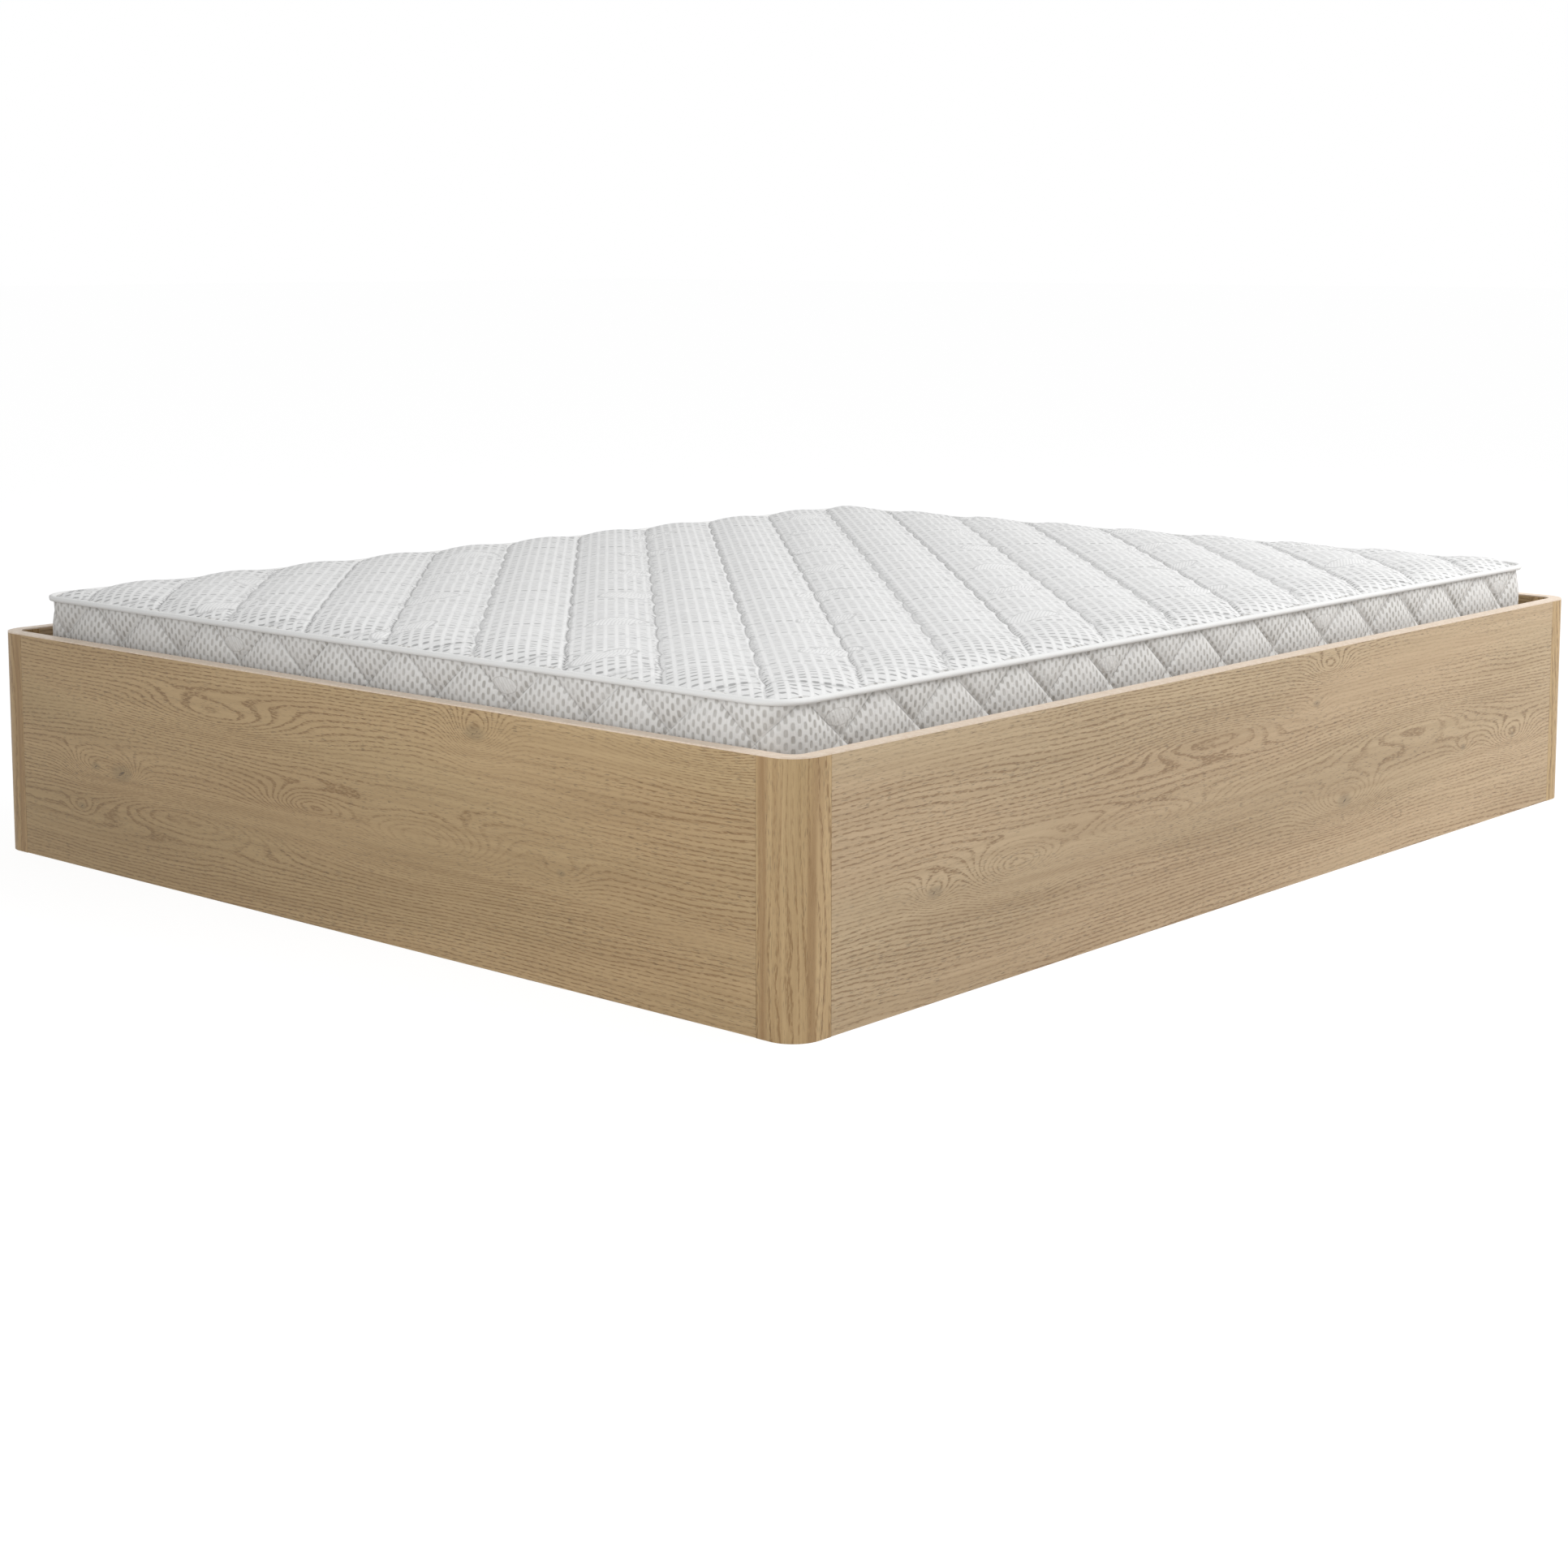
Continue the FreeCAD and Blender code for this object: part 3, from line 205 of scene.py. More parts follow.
def makeGrain():
    tree, given, out = newGroup(
        "woodGrain",
        {"Place": "Vector", "Figure": "Float", "RingWidth": "Float", "Light": "Color", "Dark": "Color",
         "RingStrength": "Float", "PoreStrength": "Float"},
        {"Colour": "Color", "Roughness": "Float", "Height": "Float"})
    look, place = grainLook, given["Place"]
    field = calc("DIVIDE", splitUp(place)[1], given["RingWidth"])
    field = calc("ADD", field, given["Figure"])
    for stretch, detail, rings in look["swings"]:
        field = timesPlus(fromHalf(noise(place, stretch, detail)), rings, field)
    ring = calc("FRACT", field)
    dash = spots(place, (85.0, 480.0, 1.0), 2.0, 0.42, 0.58, 0.2, 1.0)
    patch = spots(place, (1.6, 11.0, 1.0), 2.0, 0.34, 0.62, 0.25, 1.0)
    late = times(step(ring, 0.45, 0.8), step(ring, 0.86, 1.0, 1.0, 0.0), dash, patch)
    broad = spots(place, (0.8, 4.2, 1.0), 2.0, 0.3, 0.7)
    streak = spots(place, (3.0, 110.0, 1.0), 3.0, 0.3, 0.72)
    tone = timesPlus(streak, look["streak"], times(broad, look["broad"]))
    tone = timesPlus(times(late, given["RingStrength"]), look["late"], tone)
    cool = spots(place, (1.3, 7.0, 2.0), 2.0, 0.4, 0.65)
    colour = mixed(cool, mixed(tone, given["Light"], given["Dark"]), look["coolTint"], "MULTIPLY")
    pore = times(spots(place, (70.0, 760.0, 1.0), 1.0, 0.58, 0.7),
                 spots(place, (3.0, 30.0, 1.0), 2.0, 0.3, 0.6, 0.2, 1.0))
    fibre = noise(place, (16.0, 900.0, 1.0), 2.0)
    shade = timesPlus(times(pore, given["PoreStrength"]), look["poreShade"], 1.0)
    shade = timesPlus(fromHalf(fibre), look["fibreShade"], shade)
    feed(darkened(colour, shade), out["Colour"])
    feed(timesPlus(late, look["lateRough"], look["rough"]), out["Roughness"])
    feed(timesPlus(pore, look["poreHeight"], times(fibre, look["fibreHeight"])), out["Height"])
    return tree


grainSwell, grain = makeSwell(), makeGrain()
# The end panels' tint is painted shade, which makes their oak warmer and a little darker; the side panels' pale
# tint is a painted reflection of the white surroundings, which makes their oak paler and bluer
oak = {
    "light": (0.56, 0.415, 0.25, 1), "dark": (0.29, 0.185, 0.092, 1), "knot": (0.25, 0.195, 0.12, 1),
    "crack": (0.07, 0.045, 0.03, 1), "endShadeTint": (0.98, 0.94, 0.85), "pale": (1.03, 1.03, 1.07),
    "gloss": 1.45, "ringWidth": 0.0063, "ringStrength": 0.85, "poreStrength": 0.9, "relief": (0.0002, 0.6),
    "figureShare": 1.25, "knotShares": (2, 1), "crackShares": (0.75, 0.16), "crackSlant": 0.5,
    "stain": 0.42, "crackDepth": 0.75,
}
# Figures in the panels: middle along and up, half length and height, strength in rings, knot radius
figures = {
    "foot": [
        (0.284, 0.3235, 0.05, 0.035, 8, 0.012), (0.70, 0.37, 0.15, 0.05, 8, 0),
        (0.17, 0.155, 0.17, 0.038, 11, 0), (-0.07, 0.17, 0.09, 0.026, 8, 0),
        (-0.596, 0.167, 0.07, 0.026, 8, 0.007),
        (-0.528, 0.164, 0.045, 0.02, 6, 0.015), (-0.637, 0.099, 0.03, 0.012, 2, 0.006),
        (0.449, 0.156, 0.05, 0.02, 3, 0.005), (-0.30, 0.28, 0.2, 0.03, 6, 0),
        (-0.36, 0.12, 0.22, 0.03, -7, 0)],
    "side": [
        (0.269, 0.108, 0.10, 0.03, 9, 0.012), (0.219, 0.327, 0.055, 0.022, 6, 0),
        (-0.598, 0.147, 0.10, 0.034, 11, 0), (-0.3, 0.16, 0.2, 0.028, 8, 0),
        (0.836, 0.139, 0.067, 0.028, 6, 0.005), (0.5, 0.2, 0.25, 0.03, -6, 0),
        (-0.770, 0.147, 0.04, 0.02, 5, 0.009), (0.178, 0.275, 0.03, 0.012, 2, 0.006),
        (0.658, 0.141, 0.03, 0.014, 2, 0.006), (-0.1, 0.26, 0.2, 0.025, -5, 0)],
    "head": [
        (-0.33, 0.24, 0.12, 0.03, 6, 0.005), (0.31, 0.12, 0.16, 0.035, 6, 0),
        (0.62, 0.27, 0.05, 0.022, 5, 0.007), (-0.66, 0.1, 0.06, 0.022, 4, 0.004)],
    "left": [
        (-0.46, 0.2, 0.14, 0.035, 6, 0.005), (0.12, 0.27, 0.2, 0.03, 6, 0),
        (0.55, 0.12, 0.07, 0.026, 6, 0.01), (0.84, 0.25, 0.04, 0.02, 4, 0.004),
        (-0.85, 0.11, 0.05, 0.02, 3, 0.003)],
}


def tinted(colour, tint):
    return [part * share for part, share in zip(colour, tint)] + [1]


def makeOak(name, along, seed, shapes, tint):
    material, shader = newFinish(name, IOR=oak["gloss"])
    x, y, z = splitUp(objectPlace())
    run, deep = (x, y) if along == "x" else (y, x)
    place, flat = combined(run, z, calc("ADD", deep, seed)), combined(run, z, 0.0)
    slant = oak["crackSlant"]
    slanting = combined(timesPlus(z, slant, run), timesPlus(run, -slant, z), 0.0)
    field, knot, crack = 0.0, 0.0, 0.0
    for middle, up, length, height, rings, radius in shapes:
        swell = useGroup(grainSwell, Place=flat, Centre=(middle, up, 0), Reach=(length, height, 1),
                         Rings=rings * oak["figureShare"])
        field = calc("ADD", swell["Field"], field)
        if radius:
            wide, tall = (radius * share for share in oak["knotShares"])
            near = useGroup(grainSwell, Place=flat, Centre=(middle, up, 0), Reach=(wide, tall, 1), Rings=1)
            knot = calc("MAXIMUM", near["Field"], knot)
            wide, tall = (radius * share for share in oak["crackShares"])
            cut = useGroup(grainSwell, Place=slanting, Centre=(middle + slant * up, up - slant * middle, 0),
                           Reach=(wide, tall, 1), Rings=1)
            crack = calc("MAXIMUM", cut["Field"], crack)
    wood = useGroup(grain, Place=place, Figure=field, RingWidth=oak["ringWidth"],
                    Light=tinted(oak["light"], tint), Dark=tinted(oak["dark"], tint),
                    RingStrength=oak["ringStrength"], PoreStrength=oak["poreStrength"])
    stain = step(knot, 0.2, 0.8, 0.0, oak["stain"])
    speck = spots(flat, (150.0, 260.0, 1.0), 3.0, 0.36, 0.5)
    crack = times(step(crack, 0.3, 0.7), speck, oak["crackDepth"])
    colour = mixed(crack, mixed(stain, wood["Colour"], tinted(oak["knot"], tint)), oak["crack"])
    coat(shader, colour, wood["Height"], oak["relief"], wood["Roughness"])
    return material


# Posts: upright grain that runs round the corner, with brown streaks. One broad streak runs down the
# flat arm beside the end panel: armStreak holds its middle and its half width
post = {
    "tint": (1.06, 1.0, 0.87), "ringWidth": 0.011, "ringStrength": 0.75, "seeds": (3.1, 7.3),
    "brown": (0.33, 0.2, 0.09, 1), "streak": 0.7, "armStreak": (-0.2375, 0.007),
}


def makePostOak():
    material, shader = newFinish("oakPost", IOR=oak["gloss"])
    x, y, z = splitUp(objectPlace())
    across = calc("SUBTRACT", calc("ABSOLUTE", x), calc("ABSOLUTE", y))
    sideSeed, endSeed = post["seeds"]
    seed = timesPlus(calc("SIGN", x), sideSeed, times(calc("SIGN", y), endSeed))
    place = combined(z, across, seed)
    wood = useGroup(grain, Place=place, RingWidth=post["ringWidth"],
                    Light=tinted(oak["light"], post["tint"]), Dark=tinted(oak["dark"], post["tint"]),
                    RingStrength=post["ringStrength"], PoreStrength=oak["poreStrength"])
    middle, width = post["armStreak"]
    aside = calc("DIVIDE", calc("SUBTRACT", across, middle), width)
    fall = calc("EXPONENT", times(aside, aside, -1.0))
    broken = spots(place, (4.0, 120.0, 1.0), 3.0, 0.3, 0.6, 0.55, 1.0)
    streak = times(spots(place, (1.5, 48.0, 1.0), 2.0, 0.5, 0.68), post["streak"])
    brown = mixed(calc("MAXIMUM", streak, times(fall, broken)), wood["Colour"], post["brown"])
    coat(shader, brown, wood["Height"], oak["relief"], wood["Roughness"])
    return material


timber = {"tilt": 1.7, "poreStrength": 0.25, "relief": (0.00015, 0.5)}
pine = {"light": (0.62, 0.46, 0.28, 1), "dark": (0.5, 0.33, 0.17, 1), "ringWidth": 0.006, "strength": 0.7}
slatBeech = {"light": (0.62, 0.44, 0.27, 1), "dark": (0.5, 0.33, 0.19, 1), "ringWidth": 0.02, "strength": 0.3}
dowelBeech = {**slatBeech, "ringWidth": 0.004, "strength": 0.4}


def makeTimber(name, along, wood):
    material, shader = newFinish(name, IOR=oak["gloss"])
    x, y, z = splitUp(objectPlace())
    run, aside = (x, y) if along == "x" else (y, x)
    across = calc("ADD", aside, times(z, timber["tilt"]))
    lines = useGroup(grain, Place=combined(run, across, z), RingWidth=wood["ringWidth"], Light=wood["light"],
                     Dark=wood["dark"], RingStrength=wood["strength"], PoreStrength=timber["poreStrength"])
    coat(shader, lines["Colour"], lines["Height"], timber["relief"], lines["Roughness"])
    return material


edging = {"light": (0.82, 0.69, 0.56, 1), "dark": (0.74, 0.60, 0.47, 1), "rough": (0.38, 0.5),
          "relief": (0.0001, 0.4)}


def makeEdgeBand():
    material, shader = newFinish("edgeBand", IOR=oak["gloss"])
    speck = noise(objectPlace(), (120.0, 120.0, 20.0), 3.0)
    colour = mixed(step(speck, 0.3, 0.7), edging["light"], edging["dark"])
    coat(shader, colour, speck, edging["relief"], step(speck, 0.2, 0.8, *edging["rough"]))
    return material


# End panels take the painted shade tint, side panels the painted reflection tint
dress(makeOak("oakFoot", "x", 0.0, figures["foot"], oak["endShadeTint"]), "foot_panel")
dress(makeOak("oakSide", "y", 5.0, figures["side"], oak["pale"]), "right_side_panel")
dress(makeOak("oakHead", "x", 11.0, figures["head"], oak["endShadeTint"]), "head_panel")
dress(makeOak("oakLeft", "y", 17.0, figures["left"], oak["pale"]), "left_side_panel")
posts = [f"corner_post_{end}_{side}" for end in ("foot", "head") for side in ("left", "right")]
dress(makePostOak(), *posts)
dress(makeEdgeBand(), "end_panel_edge_bands", "side_panel_edge_bands", "corner_post_edge_bands")
dress(makeTimber("pineAlong", "y", pine), "side_floor_cleats", "frame_ledge_left", "frame_ledge_right")
dress(makeTimber("pineAcross", "x", pine), "end_floor_cleats", "floor_bearers", "frame_ledge_foot")
dress(makeTimber("beechSlat", "x", slatBeech), "slats")
dress(makeTimber("beechDowel", "y", dowelBeech), "corner_dowels")
print("wood finished")

# Metal and plastic: clouds change the shade and the roughness, and a fine grain roughens the surface
wearLook = {"cloud": 0.14, "middle": 0.6, "strength": 0.5}


def makeWear():
    tree, given, out = newGroup(
        "surfaceWear", {"Place": "Vector", "Colour": "Color", "Rough": "Float", "Grain": "Float"},
        {"Colour": "Color", "Roughness": "Float", "Height": "Float"})
    place, size = given["Place"], given["Grain"]
    cloud = noise(place, (7.0, 7.0, 7.0), 3.0)
    shade = timesPlus(calc("SUBTRACT", cloud, wearLook["middle"]), wearLook["cloud"], 1.0)
    feed(darkened(given["Colour"], shade), out["Colour"])
    feed(timesPlus(fromHalf(cloud), wearLook["cloud"], given["Rough"]), out["Roughness"])
    feed(noise(place, combined(size, size, size), 2.0), out["Height"])
    return tree


wear = makeWear()


def makeHard(name, colour, rough, metal, grainSize, depth):
    material, shader = newFinish(name, Metallic=metal)
    found = useGroup(wear, Place=objectPlace(), Colour=colour, Rough=rough, Grain=grainSize)
    coat(shader, found["Colour"], found["Height"], (depth, wearLook["strength"]), found["Roughness"])
    return material


# The storage floor's pale hardboard: short pressed fibres on a white ground
hardboard = {"light": (0.60, 0.56, 0.49, 1), "pale": (0.72, 0.69, 0.62, 1), "fleck": (0.46, 0.40, 0.32, 1),
             "fleckShare": 0.35, "rough": 0.6, "relief": (0.0001, 0.5)}


def makeHardboard():
    material, shader = newFinish("hardboard", Roughness=hardboard["rough"])
    place = objectPlace()
    fibre = noise(place, (420.0, 160.0, 1.0), 4.0, 0.65)
    flecks = times(spots(place, (90.0, 260.0, 1.0), 2.0, 0.6, 0.72), hardboard["fleckShare"])
    colour = mixed(step(fibre, 0.3, 0.7), hardboard["light"], hardboard["pale"])
    coat(shader, mixed(flecks, colour, hardboard["fleck"]), fibre, hardboard["relief"])
    return material


def bothSides(*names):
    return [f"{name}_{side}" for name in names for side in ("left", "right")]


# Colour, roughness, metallic, grain per metre, depth of the grain, and the nodes
hardware = {
    "zincPlated": ((0.62, 0.62, 0.60, 1), 0.32, 1.0, 900.0, 0.00005, [
        "cam_lock_discs", "cam_lock_bolts", "cleat_screws", "ledge_screws", "base_plate_screws",
        "base_pivot_pins", "bracket_pivot_pins", "front_link_pins", "gas_spring_rod_ends", "lift_strap_plate"]),
    "paintedSteel": ((0.045, 0.045, 0.048, 1), 0.45, 0.0, 700.0, 0.00008,
                     bothSides("lift_base_plate", "rear_link", "front_link", "frame_bracket")),
    "tubeSteel": ((0.07, 0.07, 0.073, 1), 0.42, 0.0, 600.0, 0.00008, bothSides("frame_rail") + [
        "frame_rail_head", "frame_rail_foot", "frame_rail_centre", "mattress_stop"]),
    "blackPlastic": ((0.03, 0.03, 0.031, 1), 0.5, 0.0, 1500.0, 0.00005, [
        "bearer_glides", "slat_side_holders", "slat_centre_holders", "rail_end_plugs"]),
    "springTube": ((0.02, 0.02, 0.022, 1), 0.25, 0.0, 400.0, 0.00002, bothSides("gas_spring_cylinder")),
    "springRod": ((0.7, 0.7, 0.71, 1), 0.12, 1.0, 400.0, 0.00001, bothSides("gas_spring_rod")),
}
for name, (colour, rough, metal, grainSize, depth, nodes) in hardware.items():
    dress(makeHard(name, colour, rough, metal, grainSize, depth), *nodes)
dress(makeHardboard(), "floor_boards")
print("hardware finished")

# The mattress's measures: its edge line is the middle of the solid's piping
pipingLow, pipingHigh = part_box("mattress_piping")
mattress = {"piping": 0.0092, "solidPiping": 0.007, "corner": 0.05, "pipingOut": 0.0008,
            "pipingSteps": (480, 12)}
mattress["halfWidth"] = pipingHigh.x - mattress["solidPiping"] / 2
mattress["halfLength"] = pipingHigh.y - mattress["solidPiping"] / 2
mattress["top"] = pipingHigh.z - mattress["solidPiping"] / 2
mattress["base"] = pipingLow.z + mattress["solidPiping"] / 2
mattress["underside"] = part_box("mattress_base_cover")[0].z
tiny = 1e-9
touching = 1e-5


# Straight runs and corner arcs in turn, from the middle of the foot end
def outlineRuns():
    width, length, radius = mattress["halfWidth"], mattress["halfLength"], mattress["corner"]
    arc = radius * math.pi / 2
    short, long = width - radius, 2 * (length - radius)
    return [short, arc, long, arc, 2 * short, arc, long, arc, short]


girth = sum(outlineRuns())


# Where a distance round the mattress and a distance outwards from its edge line lie in plan
def roundMattress(along, outwards):
    radius = mattress["corner"]
    x, y = np.zeros_like(along), np.zeros_like(along)
    spot, heading, start = np.array([0.0, -mattress["halfLength"]]), 0.0, 0.0
    runs = outlineRuns()
    for index, run in enumerate(runs):
        last = index == len(runs) - 1
        inside = (along >= start) & ((along < start + run) | last)
        travel = along[inside] - start
        if index % 2 == 0:
            forward = np.array([math.cos(heading), math.sin(heading)])
            x[inside] = spot[0] + travel * forward[0] + outwards[inside] * forward[1]
            y[inside] = spot[1] + travel * forward[1] - outwards[inside] * forward[0]
            spot = spot + run * forward
        else:
            centre = spot + radius * np.array([-math.sin(heading), math.cos(heading)])
            angle = heading + travel / radius
            x[inside] = centre[0] + (radius + outwards[inside]) * np.sin(angle)
            y[inside] = centre[1] - (radius + outwards[inside]) * np.cos(angle)
            heading += math.pi / 2
            spot = centre + radius * np.array([math.sin(heading), -math.cos(heading)])
        start += run
    return x, y


# Draws a flat rectangle's corners in to their arc
def roundCorners(x, y, halfWidth, halfLength, radius):
    overX, overY = np.abs(x) - (halfWidth - radius), np.abs(y) - (halfLength - radius)
    rounded = (overX > 0) & (overY > 0)
    share = np.where(rounded, np.maximum(overX, overY) / np.maximum(np.hypot(overX, overY), tiny), 1.0)
    x = np.where(rounded, np.sign(x) * (halfWidth - radius + overX * share), x)
    y = np.where(rounded, np.sign(y) * (halfLength - radius + overY * share), y)
    return x, y


def readPoints(piece):
    points = np.zeros(len(piece.data.vertices) * 3, np.float64)
    piece.data.vertices.foreach_get("co", points)
    return points.reshape(-1, 3)


def movePoints(piece, *places):
    piece.data.vertices.foreach_set("co", np.stack(places, 1).astype(np.float32).ravel())
    piece.data.update()


def flatGrid(name, columns, rows):
    bpy.ops.object.select_all(action="DESELECT")
    bpy.ops.mesh.primitive_grid_add(x_subdivisions=columns, y_subdivisions=rows, size=1)
    piece = bpy.context.object
    piece.name = name
    return piece


def keepFlat(piece, name, along, up):
    layer = piece.data.uv_layers.get(name) or piece.data.uv_layers.new(name=name)
    corners = np.zeros(len(piece.data.loops), np.int32)
    piece.data.loops.foreach_get("vertex_index", corners)
    layer.data.foreach_set("uv", np.stack([along[corners], up[corners]], 1).astype(np.float32).ravel())


def pick(piece):
    bpy.ops.object.select_all(action="DESELECT")
    piece.select_set(True)
    bpy.context.view_layer.objects.active = piece


def editAll(piece, *steps):
    pick(piece)
    bpy.ops.object.mode_set(mode="EDIT")
    bpy.ops.mesh.select_all(action="SELECT")
    for operator, settings in steps:
        operator(**settings)
    bpy.ops.object.mode_set(mode="OBJECT")


weld = (bpy.ops.mesh.remove_doubles, {"threshold": touching})
faceOut = (bpy.ops.mesh.normals_make_consistent, {"inside": False})


def applyModifier(piece, kind, **settings):
    modifier = piece.modifiers.new(kind.title(), kind)
    for name, value in settings.items():
        setattr(modifier, name, value)
    pick(piece)
    bpy.ops.object.modifier_apply(modifier=modifier.name)


# Crowds the mesh's lines near the sewn lines: whole steps in, steps out
def crowded(steps, puffSteps, strength):
    turn = 2 * math.pi * steps / puffSteps
    return steps - strength * puffSteps * np.sin(turn) / (2 * math.pi)


# Distance from the nearest sewn line, as a share of the puff's width
def fromSeam(steps, puffSteps, strength):
    share = (crowded(steps, puffSteps, strength) / puffSteps) % 1
    return np.minimum(share, 1 - share)


# Rises from 0 to 1 over about the reach
def easeIn(distance, reach):
    return 1 - np.exp(-distance / reach)


# Quilted top: square puffs set on their corners, between channels along one diagonal and shallower
# seams across them. The puffs' middles reach the crown, and the seams lie below it by their depth
quilt = {
    "puffSteps": 16, "step": 0.01135, "channelAt": -0.0270, "crossAt": 0.0151, "crowding": 0.55,
    "rise": 0.0175, "edgeReach": 0.026, "middleRise": 0.005, "middleReach": 0.3, "rimDrop": 0.0018,
    "depth": 0.0090, "crossDepth": 0.0038, "round": 0.7, "crossRound": 0.5, "fade": 0.02,
    "wave": 0.005, "waveFade": 0.03, "seamInset": 0.0030, "skin": 0.004, "seamShare": 1e-6,
    "most": 0.005, "frames": 20,
}
clothSettings = {
    "quality": 4, "mass": 0.2, "tension_stiffness": 12, "compression_stiffness": 12, "shear_stiffness": 4,
    "bending_stiffness": 0.05, "use_pressure": True, "uniform_pressure_force": 2.5, "shrink_min": -0.012,
    "vertex_group_mass": "sewn",
}


# Blows up a quilted skin between its sewn lines, which stay where they are
def blowUp(piece, sewn):
    before = readPoints(piece)
    group = piece.vertex_groups.new(name=clothSettings["vertex_group_mass"])
    group.add([int(index) for index in np.nonzero(sewn)[0]], 1.0, "REPLACE")
    cloth = piece.modifiers.new("Swell", "CLOTH")
    for name, value in clothSettings.items():
        setattr(cloth.settings, name, value)
    cloth.settings.effector_weights.gravity = 0
    cloth.collision_settings.use_collision = False
    cloth.collision_settings.use_self_collision = False
    cloth.point_cache.frame_start = 1
    cloth.point_cache.frame_end = quilt["frames"]
    for number in range(1, quilt["frames"] + 1):
        bpy.context.scene.frame_set(number)
    pick(piece)
    bpy.ops.object.modifier_apply(modifier=cloth.name)
    bpy.context.scene.frame_set(1)
    piece.vertex_groups.clear()
    moved = readPoints(piece) - before
    length = np.linalg.norm(moved, axis=1, keepdims=True)
    capped = before + moved * np.minimum(1, quilt["most"] / np.maximum(length, tiny))
    movePoints(piece, *capped.T)
    print(piece.name, "swollen by up to", round(float(length.max()) * 1000, 1), "mm")


# Edge rise and, more slowly, the middle's
def crownRise(inset):
    steep = quilt["rise"] * easeIn(inset, quilt["edgeReach"])
    return steep + quilt["middleRise"] * easeIn(inset, quilt["middleReach"])


def quiltedTop():
    halfWidth, halfLength = mattress["halfWidth"], mattress["halfLength"]
    columns, rows = round(2 * halfWidth / quilt["step"]), round(2 * halfLength / quilt["step"])
    piece = flatGrid("quiltedTop", columns, rows)
    editAll(piece, (bpy.ops.mesh.poke, {}))
    flat = readPoints(piece)
    x, y = flat[:, 0] * 2 * halfWidth, flat[:, 1] * 2 * halfLength
    # whole steps along both diagonals, counted from a sewn line
    right, up = (flat[:, 0] + 0.5) * columns, (flat[:, 1] + 0.5) * rows
    spacing, steps, crowding = quilt["step"] / math.sqrt(2), quilt["puffSteps"], quilt["crowding"]
    corner = (-halfWidth - halfLength) / math.sqrt(2)
    crossCorner = (-halfWidth + halfLength) / math.sqrt(2)
    channel = np.rint(right + up - np.rint((quilt["channelAt"] - corner) / spacing))
    cross = np.rint(right - up - np.rint((quilt["crossAt"] - crossCorner) / spacing) + rows) - rows
    inset = np.minimum(halfWidth - np.abs(x), halfLength - np.abs(y))
    free = easeIn(np.maximum(inset, 0), quilt["fade"]) * spacing / math.sqrt(2)
    channelMove = (crowded(channel, steps, crowding) - channel) * free
    crossMove = (crowded(cross, steps, crowding) - cross) * free
    inner = inset > touching
    x = np.where(inner, x + channelMove + crossMove, x)
    y = np.where(inner, y + channelMove - crossMove, y)
    inset = np.minimum(halfWidth - np.abs(x), halfLength - np.abs(y))
    drawn = 1 - quilt["seamInset"] / halfWidth
    x, y = (side * drawn for side in roundCorners(x, y, halfWidth, halfLength, mattress["corner"]))
    channelShare, crossShare = fromSeam(channel, steps, crowding), fromSeam(cross, steps, crowding)
    # the full puffs push the sewn lines out of straight
    push = quilt["wave"] * easeIn(inset, quilt["waveFade"]) / math.sqrt(2)
    aside = (0.5 - np.abs(np.sin(np.pi * cross / steps))) * push
    forward = (np.abs(np.sin(np.pi * channel / steps)) - 0.5) * push
    x, y = x + aside + forward, y + aside - forward
    keepFlat(piece, "flat", x, y)
    keepFlat(piece, "seams", channelShare * steps * spacing, crossShare * steps * spacing)
    sink = np.maximum(quilt["depth"] * (1 - np.sin(np.pi * channelShare) ** quilt["round"]),
                      quilt["crossDepth"] * (1 - np.sin(np.pi * crossShare) ** quilt["crossRound"]))
    height = mattress["top"] - quilt["rimDrop"] + crownRise(inset) - sink * easeIn(inset, quilt["fade"])
    movePoints(piece, x, y, height)
    editAll(piece, faceOut)
    blowUp(piece, (channelShare < quilt["seamShare"]) | ~inner)
    applyModifier(piece, "SOLIDIFY", thickness=quilt["skin"], offset=-1)
    piece.data.shade_smooth()
    return piece


# Border: a band round the mattress with seams in zigzags, which follow the mesh's diagonals
border = {
    "cells": 48, "puffSteps": 16, "seamHeight": 0.3575, "period": 0.117, "along": 0.008, "puff": 0.008,
    "inset": 0.0065, "wall": 0.01, "seamInset": 0.0022, "crowding": 0.6, "rimGap": 0.0005, "fade": 0.01,
    "tuck": 0.008, "round": 0.45,
}


